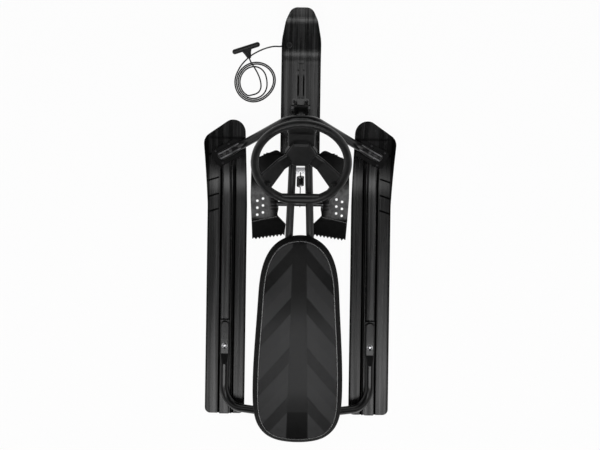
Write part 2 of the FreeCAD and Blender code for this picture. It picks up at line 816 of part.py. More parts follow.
def make_right_ski():
    """The right side ski with its rib, bead, saddles and upturned nose."""
    x = SKI_SPACING / 2
    full, end = ski_path(x, SKI_REAR_Y, SKI_BEND_Y, SKI_BEND_RADIUS, SKI_NOSE_ANGLE, 115)
    part_way, end = ski_path(x, SKI_REAR_Y, SKI_BEND_Y, SKI_BEND_RADIUS, SKI_NOSE_ANGLE, 0)
    plate = sweep(full, side_ski_plate_section(x, SKI_REAR_Y))
    centre = x + RIB_OFFSET
    y = SKI_REAR_Y
    rib_corners = [
        (V(centre - RIB_BASE_HALF, y, 2), 0),
        (V(centre + RIB_BASE_HALF, y, 2), 0),
        (V(centre + RIB_TOP_HALF, y, RIB_HEIGHT), 3.0),
        (V(centre - RIB_TOP_HALF, y, RIB_HEIGHT), 3.0),
    ]
    rib = sweep(part_way, rounded_wire(rib_corners))
    bead_x = centre - RIB_BASE_HALF - 4.2
    bead_corners = [
        (V(bead_x - BEAD_HALF, y, 2), 0),
        (V(bead_x + BEAD_HALF, y, 2), 0),
        (V(bead_x + BEAD_HALF - 0.4, y, BEAD_HEIGHT), 1.2),
        (V(bead_x - BEAD_HALF + 0.4, y, BEAD_HEIGHT), 1.2),
    ]
    bead = sweep(part_way, rounded_wire(bead_corners))
    grooves = []
    groove_low = SKI_PLATE - SKI_GROOVE_DEPTH
    for groove_x, half in ((centre + RIB_BASE_HALF + 2.5, 2.5), (bead_x - BEAD_HALF - 1.8, 1.8)):
        corners = [V(groove_x - half, y, groove_low), V(groove_x + half, y, groove_low)]
        corners += [V(groove_x + half, y, SKI_PLATE + 2), V(groove_x - half, y, SKI_PLATE + 2)]
        grooves.append(sweep(part_way, polygon(corners)))
    ski = plate.cut(grooves).fuse([rib, bead])
    step = [
        V(x - 40, SKI_REAR_Y - 5, SADDLE_HEIGHT),
        V(x - 40, SADDLE_START_Y - SADDLE_RAMP, SADDLE_HEIGHT),
        V(x - 40, SADDLE_START_Y, RIB_HEIGHT + 1),
        V(x - 40, SADDLE_START_Y, RIB_HEIGHT + 20),
        V(x - 40, SKI_REAR_Y - 5, RIB_HEIGHT + 20),
    ]
    ski = ski.cut(prism(step, V(80, 0, 0)))
    channel_path, end = ski_path(x, SADDLE_START_Y + 8, SKI_BEND_Y, SKI_BEND_RADIUS, SKI_NOSE_ANGLE - 3, 0)
    y = SADDLE_START_Y + 8
    channel_corners = [
        V(centre - RIB_BASE_HALF + RIB_WALL, y, -1),
        V(centre + RIB_BASE_HALF - RIB_WALL, y, -1),
        V(centre + RIB_TOP_HALF - RIB_WALL, y, RIB_HEIGHT - RIB_WALL),
        V(centre - RIB_TOP_HALF + RIB_WALL, y, RIB_HEIGHT - RIB_WALL),
    ]
    ski = ski.cut(sweep(channel_path, polygon(channel_corners)))
    ski = ski.fuse(make_ski_saddle(full, x))
    ski = ski.common(side_ski_outline(x))
    for point in arch_screw_points():
        depth = FLAT_THICKNESS - FOOT_GROOVE_DEPTH + FOOT_SCREW_BITE + SCREW_HOLE_SPARE
        ski = ski.cut(Part.makeCylinder(FOOT_SCREW_RADIUS, depth, point - V(0, 0, depth)))
    for point in saddle_screw_points():
        depth = SADDLE_SCREW_BITE + SCREW_HOLE_SPARE
        ski = ski.cut(Part.makeCylinder(SADDLE_SCREW_RADIUS, depth, point - V(0, 0, depth)))
    ski = ski.cut(Part.makeCylinder(HOOP_BOLT_RADIUS + HOOP_BOLT_SPARE, 40, V(centre, HOOP_BOLT_Y, -5)))
    pocket = HOOP_NUT_SINK + HOOP_NUT_HEIGHT
    flats = HOOP_NUT_RADIUS + HOOP_NUT_SPARE
    ski = ski.cut(hexagon(V(centre, HOOP_BOLT_Y, -1), V(0, 0, 1), flats, pocket + 1))
    return biggest(ski.removeSplitter())


def make_ski_saddle(path, x):
    """The raised saddle under the arch's foot."""
    crown, foot, along = arch_points()
    across = V(-along.y, along.x, 0)
    base = V(foot.x, foot.y, 0)
    corners = []
    for reach, side in ((PAD_START, -1), (PAD_END, -1), (PAD_END, 1), (PAD_START, 1)):
        corners.append((base + along * reach + across * (side * PAD_HALF_WIDTH), PAD_CORNER))
    pad = rounded_prism(corners, V(0, 0, PAD_TOP))
    tall = polygon([
        V(x - 90, SKI_REAR_Y, 1),
        V(x + 90, SKI_REAR_Y, 1),
        V(x + 90, SKI_REAR_Y, 75),
        V(x - 90, SKI_REAR_Y, 75),
    ])
    return pad.common(sweep(path, tall))


def side_ski_outline(x):
    """Plan outline of the right side ski as a tall solid."""
    half = SKI_HALF_WIDTH
    corners = [
        (V(x - half, SKI_REAR_Y, -5), SKI_REAR_CORNER),
        (V(x + half, SKI_REAR_Y, -5), SKI_REAR_CORNER),
        (V(x + half, SKI_BEND_Y, -5), FLARE_ROUND),
        (V(x + half + SHOULDER_OUT, SKI_TIP_Y - SHOULDER_DROP, -5), SHOULDER_ROUND),
        (V(x - NOSE_OFFSET, SKI_TIP_Y, -5), NOSE_ROUND),
        (V(x - half + NOSE_INSET, SKI_TIP_Y, -5), INNER_NOSE_ROUND),
        (V(x - half, SKI_BEND_Y, -5), FLARE_ROUND),
    ]
    return rounded_prism(corners, V(0, 0, 140))


def front_ski_path(rear_y):
    """Running line of the front ski, with a flatter lip at its tip."""
    rise_angle = math.radians(FRONT_NOSE_ANGLE)
    lip_angle = math.radians(FRONT_LIP_ANGLE)
    wire, start = ski_path(0, rear_y, FRONT_BEND_Y, FRONT_BEND_RADIUS, FRONT_NOSE_ANGLE, FRONT_NOSE_RUN)
    centre = start + V(0, math.sin(rise_angle), -math.cos(rise_angle)) * FRONT_LIP_RADIUS
    middle_angle = (rise_angle + lip_angle) / 2
    middle = centre + V(0, -math.sin(middle_angle), math.cos(middle_angle)) * FRONT_LIP_RADIUS
    end = centre + V(0, -math.sin(lip_angle), math.cos(lip_angle)) * FRONT_LIP_RADIUS
    tip = end + V(0, math.cos(lip_angle), math.sin(lip_angle)) * 40
    lip = Part.Arc(start, middle, end).toShape()
    return Part.Wire(wire.Edges + [lip, Part.LineSegment(end, tip).toShape()])


def front_nose_point(y, depth):
    """A point on the straight rise of the front ski, depth above its running side."""
    angle = math.radians(FRONT_NOSE_ANGLE)
    base_y = FRONT_BEND_Y + FRONT_BEND_RADIUS * math.sin(angle)
    base_z = FRONT_BEND_RADIUS * (1 - math.cos(angle))
    run = (y - base_y) / math.cos(angle)
    normal = V(0, -math.sin(angle), math.cos(angle))
    return V(0, y, base_z + run * math.sin(angle)) + normal * depth, normal


def make_front_ski():
    """The steered front ski with its ribs, cleat and upturned nose."""
    y = FRONT_REAR_Y
    half = FRONT_HALF_WIDTH
    section = [
        (V(-half, y, 0), 0),
        (V(half, y, 0), 0),
        (V(half, y, FRONT_PLATE + 1), 1.5),
        (V(half - 5, y, FRONT_PLATE + 1), 1.5),
        (V(half - 8, y, FRONT_PLATE), 0),
        (V(-half + 8, y, FRONT_PLATE), 0),
        (V(-half + 5, y, FRONT_PLATE + 1), 1.5),
        (V(-half, y, FRONT_PLATE + 1), 1.5),
    ]
    ski = sweep(front_ski_path(y), rounded_wire(section))
    outline = [
        (V(-half, FRONT_REAR_Y, -5), FRONT_REAR_ROUND),
        (V(half, FRONT_REAR_Y, -5), FRONT_REAR_ROUND),
        (V(half, FRONT_TIP_Y - FRONT_SHOULDER, -5), FRONT_SHOULDER_ROUND),
        (V(half - FRONT_CHEEK_INSET, FRONT_TIP_Y - FRONT_CHEEK, -5), FRONT_CHEEK_ROUND),
        (V(half - FRONT_TIP_INSET, FRONT_TIP_Y, -5), FRONT_TIP_ROUND),
        (V(-half + FRONT_TIP_INSET, FRONT_TIP_Y, -5), FRONT_TIP_ROUND),
        (V(-half + FRONT_CHEEK_INSET, FRONT_TIP_Y - FRONT_CHEEK, -5), FRONT_CHEEK_ROUND),
        (V(-half, FRONT_TIP_Y - FRONT_SHOULDER, -5), FRONT_SHOULDER_ROUND),
    ]
    ski = ski.common(rounded_prism(outline, V(0, 0, 140)))
    rib_start = PIVOT_Y + BRACKET_LENGTH / 2 + FRONT_RIB_GAP
    rib = [
        V(-9, rib_start, 2),
        V(9, rib_start, 2),
        V(5, FRONT_RIB_END_Y, 2),
        V(-5, FRONT_RIB_END_Y, 2),
    ]
    rib_solid = prism(rib, V(0, 0, FRONT_PLATE + FRONT_RIB_HEIGHT - 2))
    groove = block(-2, 2, rib_start - 5, FRONT_RIB_END_Y + 5, FRONT_PLATE + 3, 60)
    ski = ski.fuse(rib_solid.cut(groove))
    fins = []
    for side in (1, -1):
        middle = side * (CLEAT_GAP + CLEAT_FIN) / 2
        fin = [
            V(middle - CLEAT_FIN / 2, CLEAT_Y - CLEAT_LENGTH / 2, 4),
            V(middle - CLEAT_FIN / 2, CLEAT_Y + CLEAT_LENGTH / 2, 4),
            V(middle - CLEAT_FIN / 2, CLEAT_Y + CLEAT_LENGTH / 2 - 6, FRONT_PLATE + CLEAT_HEIGHT),
            V(middle - CLEAT_FIN / 2, CLEAT_Y - CLEAT_LENGTH / 2 + 3, FRONT_PLATE + CLEAT_HEIGHT),
        ]
        fins.append(prism(fin, V(CLEAT_FIN, 0, 0)))
    bridge_front = CLEAT_Y + CLEAT_LENGTH / 2
    fins.append(block(-9, 9, bridge_front - 5, bridge_front + 3, 4, FRONT_PLATE + CLEAT_HEIGHT - 4))
    ski = ski.fuse(fins)
    for point in bracket_screw_points():
        ski = ski.cut(Part.makeCylinder(2.0, 6.5, V(point.x, point.y, FRONT_PLATE - 6.2)))
    low, normal = front_nose_point(CORD_HOLE_Y, -10)
    low = low + V(CORD_HOLE_X, 0, 0)
    ski = ski.cut(rod(low, low + normal * 40, 5.0))
    return biggest(ski.removeSplitter())


def make_grommet():
    """The plastic grommet in the front ski's cord hole."""
    base, normal = front_nose_point(CORD_HOLE_Y, 0)
    base = base + V(CORD_HOLE_X, 0, 0)
    body = rod(base, base + normal * FRONT_PLATE, 5.0)
    top = rod(base + normal * FRONT_PLATE, base + normal * (FRONT_PLATE + 1.5), 8.0)
    low = rod(base - normal * 1.5, base, 7.0)
    hole = rod(base - normal * 10, base + normal * 30, CORD_RADIUS + 0.3)
    return body.fuse([top, low]).cut(hole).removeSplitter()


def make_knot():
    """The knot on top of the grommet and the cord through the hole."""
    base, normal = front_nose_point(CORD_HOLE_Y, 0)
    base = base + V(CORD_HOLE_X, 0, 0)
    top = base + normal * (FRONT_PLATE + 1.5)
    ball = Part.makeSphere(6.0, top + normal * 4.2)
    ball = ball.common(rod(top, top + normal * 20, 12))
    wrap = Part.makeTorus(5.2, 2.0, top + normal * 4.6, V(0.5, -0.4, 0.75))
    wrap = wrap.common(rod(top, top + normal * 30, 20))
    stem = rod(base - normal * 1.5, top, CORD_RADIUS)
    return ball.fuse([wrap, stem]).removeSplitter()


def cord_exit():
    """Where the cord leaves the underside of the grommet, and its heading."""
    base, normal = front_nose_point(CORD_HOLE_Y, 0)
    return base + V(CORD_HOLE_X, 0, 0) - normal * 1.5, normal * -1


def coil_point(degrees):
    """A point of the loosely laid coil, which runs inwards turn by turn."""
    angle = math.radians(degrees)
    turns = (degrees - COIL_START_DEG) / 360
    dent = ((1 + math.cos(angle - math.radians(COIL_DENT_DEG))) / 2) ** 4
    late = min(max((degrees - 800) / 200, 0), 1)
    late = late * late * (3 - 2 * late)
    pull = late * ((1 + math.cos(angle - math.radians(COIL_PULL_DEG))) / 2) ** 4
    radius = COIL_RADIUS - COIL_STEP * turns - COIL_DENT * dent - COIL_PULL * pull
    return V(COIL_X + radius * math.cos(angle), COIL_Y + radius * math.sin(angle), CORD_LIE)


def coil_heading(degrees):
    """Heading of the coil at an angle."""
    return (coil_point(degrees + 0.05) - coil_point(degrees - 0.05)).normalize()


def make_coil():
    """The coil of the pull cord as one unbroken tube."""
    steps = int(COIL_SWEEP_DEG / 30)
    knots = []
    for index in range(steps + 1):
        degrees = COIL_START_DEG + COIL_SWEEP_DEG * index / steps
        knots.append((coil_point(degrees), coil_heading(degrees)))
    wire = biarc_wire(knots)
    coil = sweep(wire, circle_at(knots[0][0], knots[0][1], CORD_RADIUS))
    points = wire.discretize(900)
    spacing = wire.Length / 899
    skip = int(60 / spacing)
    least = 1e9
    for index in range(0, len(points) - skip):
        for other in points[index + skip:]:
            least = min(least, (points[index] - other).Length)
    report_tube("pull_cord_coil", coil, wire.Length)
    print("pull_cord_coil least gap to itself %.2f" % (least - 2 * CORD_RADIUS))
    return coil


def report_tube(name, solid, length):
    """Print a tube's length and how its volume compares with section times length."""
    ideal = math.pi * CORD_RADIUS ** 2 * length
    print("%s length %.1f volume share %.4f lowest %.2f" % (
        name, length, solid.Volume / ideal, solid.optimalBoundingBox().ZMin))


def lead_points():
    """Route of the cord from the front ski to the coil."""
    start, heading = cord_exit()
    join = coil_point(COIL_START_DEG)
    back = coil_heading(COIL_START_DEG)
    return [
        start,
        start + heading * 6.5,
        start + V(-9.0, 1.0, 3.2 - start.z),
        V(-56.0, 477.5, 2.6),
        V(-73.0, 479.0, CORD_LIE),
        V(-94.0, 474.5, CORD_LIE),
        V(-116.0, 465.5, CORD_LIE),
        V(-137.5, 453.0, CORD_LIE),
        V(-155.0, 437.0, CORD_LIE),
        join - back * 16,
        join,
    ]


def tail_points():
    """Route of the cord from the coil's inner end across the coil to the handle."""
    end_deg = COIL_START_DEG + COIL_SWEEP_DEG
    start = coil_point(end_deg)
    ahead = coil_heading(end_deg)
    tip, inward = neck_tip()
    return [
        start,
        start + ahead * 9,
        V(-123.5, 346.5, CORD_LIE),
        V(-114.0, 353.0, CORD_LIE),
        V(-109.0, 364.0, CORD_LIE),
        V(-110.0, 380.0, CORD_LIE),
        V(-116.0, 398.0, 4.2),
        V(-125.0, 414.0, 7.6),
        V(-134.0, 427.0, 9.6),
        tip - inward * 7,
        tip,
    ]


def make_cord_stretch(name, points, heading):
    """A free stretch of the cord."""
    wire, radii = cord_route(points)
    solid = sweep(wire, circle_at(points[0], heading, CORD_RADIUS))
    report_tube(name, solid, wire.Length)
    print("%s radii %s" % (name, " ".join("%.1f" % radius for radius in radii)))
    return solid


def neck_tip():
    """Tip of the handle's neck and the heading into the handle."""
    angle = math.radians(HANDLE_ANGLE - 90)
    along = V(math.cos(angle), math.sin(angle), 0)
    flat = V(HANDLE_X, HANDLE_Y, 0) + along * NECK_LENGTH
    return V(flat.x, flat.y, NECK_TIP_Z), along * -1


def make_handle():
    """The T handle of the pull cord."""
    angle = math.radians(HANDLE_ANGLE)
    along = V(math.cos(angle), math.sin(angle), 0)
    tip, inward = neck_tip()
    centre = V(HANDLE_X, HANDLE_Y, HANDLE_RADIUS)
    reach = along * (HANDLE_HALF - HANDLE_RADIUS)
    bar = rod(centre - reach, centre + reach, HANDLE_RADIUS)
    ends = [Part.makeSphere(HANDLE_RADIUS, centre - reach), Part.makeSphere(HANDLE_RADIUS, centre + reach)]
    up = V(0, 0, 1)
    root = stadium(centre, along, up, 34, 10)
    waist_centre = centre - inward * 15 + V(0, 0, 1.6)
    waist = stadium(waist_centre, along, up, 19, 9.4)
    mouth = stadium(tip, along, up, 9.6, 9.0)
    neck = Part.makeLoft([root, waist, mouth], True, True)
    return bar.fuse(ends + [neck]).removeSplitter()


def make_wheel():
    """The moulded steering wheel: rim, three dished spokes and hub."""
    corner_y = RIM_CORNER - RIM_FLAT
    corner_x = math.sqrt((RIM_RADIUS - RIM_CORNER) ** 2 - corner_y ** 2)
    share = RIM_RADIUS / (RIM_RADIUS - RIM_CORNER)
    right_join = V(corner_x * share, corner_y * share, 0)
    left_join = V(-right_join.x, right_join.y, 0)
    lean = math.atan2(corner_x, -corner_y) / 2
    right_mid = V(corner_x + RIM_CORNER * math.sin(lean), corner_y - RIM_CORNER * math.cos(lean), 0)
    left_mid = V(-right_mid.x, right_mid.y, 0)
    flat_right = V(corner_x, -RIM_FLAT, 0)
    flat_left = V(-corner_x, -RIM_FLAT, 0)
    edges = [
        Part.Arc(right_join, V(RIM_RADIUS, 0, 0), V(0, RIM_RADIUS, 0)).toShape(),
        Part.Arc(V(0, RIM_RADIUS, 0), V(-RIM_RADIUS, 0, 0), left_join).toShape(),
        Part.Arc(left_join, left_mid, flat_left).toShape(),
        Part.LineSegment(flat_left, flat_right).toShape(),
        Part.Arc(flat_right, right_mid, right_join).toShape(),
    ]
    start = right_join
    outward = V(right_join).normalize()
    heading = V(0, 0, 1).cross(outward)
    oval = Part.Ellipse(start + V(0, 0, RIM_HALF_DEPTH), start + outward * RIM_HALF_WIDTH, start)
    rim = sweep(Part.Wire(edges), Part.Wire(oval.toShape()))
    hub = hexagon(V(0, 0, HUB_BOTTOM), V(0, 0, 1), HUB_CORNER_RADIUS, HUB_TOP - HUB_BOTTOM)
    boss = rod(V(0, 0, BOSS_BOTTOM), V(0, 0, HUB_BOTTOM), BOSS_RADIUS)
    spokes = [make_spoke(90, TOP_SPOKE_HUB_HALF, TOP_SPOKE_RIM_HALF, 20, RIM_RADIUS)]
    for side in (1, -1):
        angle = -90 + side * LOW_SPOKE_ANGLE
        spokes.append(make_spoke(angle, LOW_SPOKE_HUB_HALF, LOW_SPOKE_RIM_HALF, 20, RIM_RADIUS))
    wheel = rim.fuse([hub, boss] + spokes)
    wheel = wheel.cut(rod(V(0, 0, BOSS_BOTTOM - 5), V(0, 0, COLUMN_TOP), COLUMN_RADIUS + 0.05))
    wheel = wheel.cut(rod(V(-60, 0, CLAMP_BOLT_Z), V(60, 0, CLAMP_BOLT_Z), CLAMP_BOLT_RADIUS + 0.1))
    return steer_place(biggest(wheel.removeSplitter()))


def make_spoke(degrees, hub_half, rim_half, inner, outer):
    """One spoke that rises from the hub to the rim."""
    angle = math.radians(degrees)
    along = V(math.cos(angle), math.sin(angle), 0)
    across = V(-along.y, along.x, 0)
    sections = []
    places = (
        (inner, hub_half, HUB_TOP - 3 - SPOKE_THICKNESS / 2),
        (outer * 0.52, hub_half, HUB_TOP + 4 - SPOKE_THICKNESS / 2),
        (outer - 2, rim_half, -1.0),
    )
    for reach, half, height in places:
        centre = along * reach + V(0, 0, height)
        sections.append(stadium(centre, across, V(0, 0, 1), 2 * half, SPOKE_THICKNESS))
    return Part.makeLoft(sections, True, True)


def make_hub_cover():
    """The plain hexagonal cover on the hub."""
    low = hexagon_wire(HUB_TOP, HUB_CORNER_RADIUS - 1.5)
    shoulder = hexagon_wire(HUB_TOP + COVER_HEIGHT - 4, HUB_CORNER_RADIUS - 2.5)
    top = hexagon_wire(HUB_TOP + COVER_HEIGHT, HUB_CORNER_RADIUS - 8)
    cover = Part.makeLoft([low, shoulder, top], True, True)
    return steer_place(cover)


def hexagon_wire(height, radius):
    """A hexagon with corners left and right, as the wheel's hub."""
    corners = []
    for index in range(6):
        angle = math.radians(60 * index)
        corners.append((V(radius * math.cos(angle), radius * math.sin(angle), height), 4.0))
    return rounded_wire(corners)


def make_column():
    """The steering column tube."""
    column = pipe(V(0, 0, COLUMN_BOTTOM), V(0, 0, COLUMN_TOP), COLUMN_RADIUS, COLUMN_WALL)
    column = column.cut(rod(V(-30, 0, CLAMP_BOLT_Z), V(30, 0, CLAMP_BOLT_Z), CLAMP_BOLT_RADIUS + 0.1))
    column = column.cut(rod(V(-30, 0, collar_middle()), V(30, 0, collar_middle()), 2.0))
    return steer_place(column)


def collar_middle():
    """Height of the collar's middle on the column's axis."""
    return HEAD_BOTTOM - BUSH_FLANGE - COLLAR_GAP - COLLAR_HEIGHT / 2


def make_collar():
    """The collar that holds the column up against the lower bush."""
    middle = collar_middle()
    reach = COLLAR_HEIGHT / 2
    collar = rod(V(0, 0, middle - reach), V(0, 0, middle + reach), COLLAR_RADIUS)
    collar = collar.cut(rod(V(0, 0, middle - 20), V(0, 0, middle + 20), COLUMN_RADIUS + 0.05))
    return steer_place(collar.cut(rod(V(-30, 0, middle), V(30, 0, middle), 2.0)))


def make_collar_pin():
    """The pin through collar and column."""
    reach = COLLAR_RADIUS + 2
    return steer_place(rod(V(-reach, 0, collar_middle()), V(reach, 0, collar_middle()), 1.95))


def make_thrust_washer():
    """The washer between the wheel's boss and the upper bush."""
    top = BOSS_BOTTOM
    bottom = HEAD_TOP + BUSH_FLANGE + 0.4
    washer = rod(V(0, 0, bottom), V(0, 0, top), BOSS_RADIUS - 1)
    return steer_place(washer.cut(rod(V(0, 0, bottom - 5), V(0, 0, top + 5), COLUMN_RADIUS + 0.05)))


def make_clamp_bolt():
    """The cross bolt that holds the wheel on the column."""
    shank = rod(V(-BOSS_RADIUS - 8, 0, CLAMP_BOLT_Z), V(BOSS_RADIUS, 0, CLAMP_BOLT_Z), CLAMP_BOLT_RADIUS)
    head = hexagon(V(BOSS_RADIUS, 0, CLAMP_BOLT_Z), V(1, 0, 0), 5.8, 4.0)
    return steer_place(shank.fuse(head).removeSplitter())


def make_clamp_nut():
    """The nut of the wheel's cross bolt."""
    nut = hexagon(V(-BOSS_RADIUS - 5, 0, CLAMP_BOLT_Z), V(1, 0, 0), 5.8, 5.0)
    bore = rod(V(-60, 0, CLAMP_BOLT_Z), V(60, 0, CLAMP_BOLT_Z), CLAMP_BOLT_RADIUS + 0.02)
    return steer_place(nut.cut(bore))


def fork_cheek(x0, x1):
    """One cheek of the fork, from the crown's round to the pivot's eye."""
    crown = steer_point(0, 0, COLUMN_BOTTOM - FORK_CROWN_PLATE - 4)
    eye = V(0, PIVOT_Y, PIVOT_Z)
    along = (eye - crown)
    length = along.Length
    along.normalize()
    side = V(1, 0, 0).cross(along)
    lean = math.asin((FORK_CROWN_RADIUS - FORK_EYE_RADIUS) / length)
    corners = []
    for sign in (1, -1):
        normal = side * (sign * math.cos(lean)) + along * math.sin(lean)
        corners.append((crown + normal * FORK_CROWN_RADIUS, eye + normal * FORK_EYE_RADIUS))
    (a0, a1), (b0, b1) = corners
    crown_back = crown - along * FORK_CROWN_RADIUS
    eye_end = eye + along * FORK_EYE_RADIUS
    edges = [
        Part.LineSegment(a0, a1).toShape(),
        Part.Arc(a1, eye_end, b1).toShape(),
        Part.LineSegment(b1, b0).toShape(),
        Part.Arc(b0, crown_back, a0).toShape(),
    ]
    face = Part.Face(Part.Wire(edges))
    cheek = face.extrude(V(x1 - x0, 0, 0))
    return moved(cheek, V(x0, 0, 0))


def make_fork():
    """The fork under the column that holds the front ski's pivot."""
    outer = FORK_INNER_HALF + FORK_PLATE
    cheeks = [fork_cheek(FORK_INNER_HALF, outer), fork_cheek(-outer, -FORK_INNER_HALF)]
    low = COLUMN_BOTTOM - FORK_CROWN_PLATE
    crown = block(-outer, outer, -FORK_CROWN_RADIUS, FORK_CROWN_RADIUS, low, COLUMN_BOTTOM)
    above = block(-60, 60, -60, 60, COLUMN_BOTTOM, COLUMN_BOTTOM + 90)
    fork = cheeks[0].fuse([cheeks[1], steer_place(crown)])
    fork = fork.cut(steer_place(above))
    fork = fork.cut(rod(V(-40, PIVOT_Y, PIVOT_Z), V(40, PIVOT_Y, PIVOT_Z), PIVOT_RADIUS + 0.05))
    return biggest(fork.removeSplitter())


def make_pivot_bolt():
    """The bolt that the front ski pitches on."""
    outer = FORK_INNER_HALF + FORK_PLATE + 1.5
    shank = rod(V(-outer - 9, PIVOT_Y, PIVOT_Z), V(outer, PIVOT_Y, PIVOT_Z), PIVOT_RADIUS)
    head = hexagon(V(outer, PIVOT_Y, PIVOT_Z), V(1, 0, 0), 7.5, 5.3)
    return shank.fuse(head).removeSplitter()


def make_pivot_nut():
    """The lock nut of the pivot bolt."""
    outer = FORK_INNER_HALF + FORK_PLATE + 1.5
    nut = hexagon(V(-outer - 7, PIVOT_Y, PIVOT_Z), V(1, 0, 0), 7.5, 7.0)
    return nut.cut(rod(V(-60, PIVOT_Y, PIVOT_Z), V(60, PIVOT_Y, PIVOT_Z), PIVOT_RADIUS + 0.02))


def make_pivot_washers():
    """Washers under the pivot bolt's head and nut."""
    inner = FORK_INNER_HALF + FORK_PLATE
    washer = rod(V(inner, PIVOT_Y, PIVOT_Z), V(inner + 1.5, PIVOT_Y, PIVOT_Z), 8.5)
    washer = washer.cut(rod(V(0, PIVOT_Y, PIVOT_Z), V(60, PIVOT_Y, PIVOT_Z), PIVOT_RADIUS + 0.05))
    return Part.makeCompound([washer, mirrored(washer)])


def bracket_screw_points():
    """Screw places of the ski bracket, at its base plate's top."""
    points = []
    for x in (-BRACKET_SCREW_X, BRACKET_SCREW_X):
        for y in (-BRACKET_SCREW_Y, BRACKET_SCREW_Y):
            points.append(V(x, PIVOT_Y + y, FRONT_PLATE + BRACKET_PLATE))
    return points


def make_ski_bracket():
    """The folded steel bracket on the front ski."""
    level = FRONT_PLATE
    y0 = PIVOT_Y - BRACKET_LENGTH / 2
    y1 = PIVOT_Y + BRACKET_LENGTH / 2
    half = BRACKET_HALF_WIDTH
    base = (V(-half, y0, level), V(half, y0, level), V(half, y1, level), V(-half, y1, level))
    base_corners = [(corner, BRACKET_CORNER) for corner in base]
    bracket = rounded_prism(base_corners, V(0, 0, BRACKET_PLATE))
    ears = []
    for x0 in (BRACKET_EAR_HALF - BRACKET_PLATE, -BRACKET_EAR_HALF):
        ear = [
            (V(x0, y0 + 6, level), 0),
            (V(x0, y1 - 6, level), 0),
            (V(x0, PIVOT_Y + 13, PIVOT_Z + 13), 12),
            (V(x0, PIVOT_Y - 13, PIVOT_Z + 13), 12),
        ]
        ears.append(rounded_prism(ear, V(BRACKET_PLATE, 0, 0)))
    bracket = bracket.fuse(ears)
    bracket = bracket.cut(rod(V(-40, PIVOT_Y, PIVOT_Z), V(40, PIVOT_Y, PIVOT_Z), PIVOT_RADIUS + PIVOT_FIT))
    for point in bracket_screw_points():
        bracket = bracket.cut(Part.makeCylinder(2.1, 20, point - V(0, 0, 10)))
    return biggest(bracket.removeSplitter())


def make_pivot_sleeve():
    """The spacer tube between the bracket's ears."""
    reach = BRACKET_EAR_HALF - BRACKET_PLATE
    start = V(-reach, PIVOT_Y, PIVOT_Z)
    return rod(start, V(reach, PIVOT_Y, PIVOT_Z), 8.0).cut(
        rod(V(-40, PIVOT_Y, PIVOT_Z), V(40, PIVOT_Y, PIVOT_Z), PIVOT_RADIUS + PIVOT_FIT))


def make_bracket_screws():
    """Screws that hold the bracket on the front ski."""
    screws = [dome_screw(point, 4.0, 2.4, 1.95, BRACKET_PLATE + 5.5) for point in bracket_screw_points()]
    return Part.makeCompound(screws)


def hanger_inner():
    """Inner face of the right brake hanger, just outside the main tube."""
    return main_half(AXLE_Y - HANGER_BACK) + MAIN_RADIUS + 0.1


def make_hangers():
    """The two plates under the main tubes that carry the brake axle."""
    x = hanger_inner()
    top = main_height(AXLE_Y) + 7
    corners = [
        (V(x, AXLE_Y - HANGER_BACK, top), 4),
        (V(x, AXLE_Y + HANGER_FRONT, top), 4),
        (V(x, AXLE_Y + HANGER_EYE, AXLE_Z - HANGER_EYE), 10),
        (V(x, AXLE_Y - HANGER_EYE, AXLE_Z - HANGER_EYE), 10),
    ]
    plate = rounded_prism(corners, V(HANGER_PLATE, 0, 0))
    plate = plate.cut(rod(V(0, AXLE_Y, AXLE_Z), V(90, AXLE_Y, AXLE_Z), AXLE_RADIUS + 0.05))
    return Part.makeCompound([plate, mirrored(plate)])


def make_axle():
    """The steel rod that the brake swings on."""
    return rod(V(-AXLE_HALF, AXLE_Y, AXLE_Z), V(AXLE_HALF, AXLE_Y, AXLE_Z), AXLE_RADIUS)


def make_axle_caps():
    """Push-on caps at the ends of the brake axle."""
    inner = PEDAL_OUTER_X + AXLE_CAP_PLAY
    cap = rod(V(inner, AXLE_Y, AXLE_Z), V(AXLE_HALF + AXLE_CAP_END, AXLE_Y, AXLE_Z), AXLE_CAP_RADIUS)
    cap = cap.cut(rod(V(0, AXLE_Y, AXLE_Z), V(AXLE_HALF, AXLE_Y, AXLE_Z), AXLE_RADIUS))
    return Part.makeCompound([cap, mirrored(cap)])


def tread_height(y):
    """Top of the pedal's tread."""
    return CREASE_Z + (y - CREASE_Y) * (TOE_Z - CREASE_Z) / (TOE_Y - CREASE_Y)


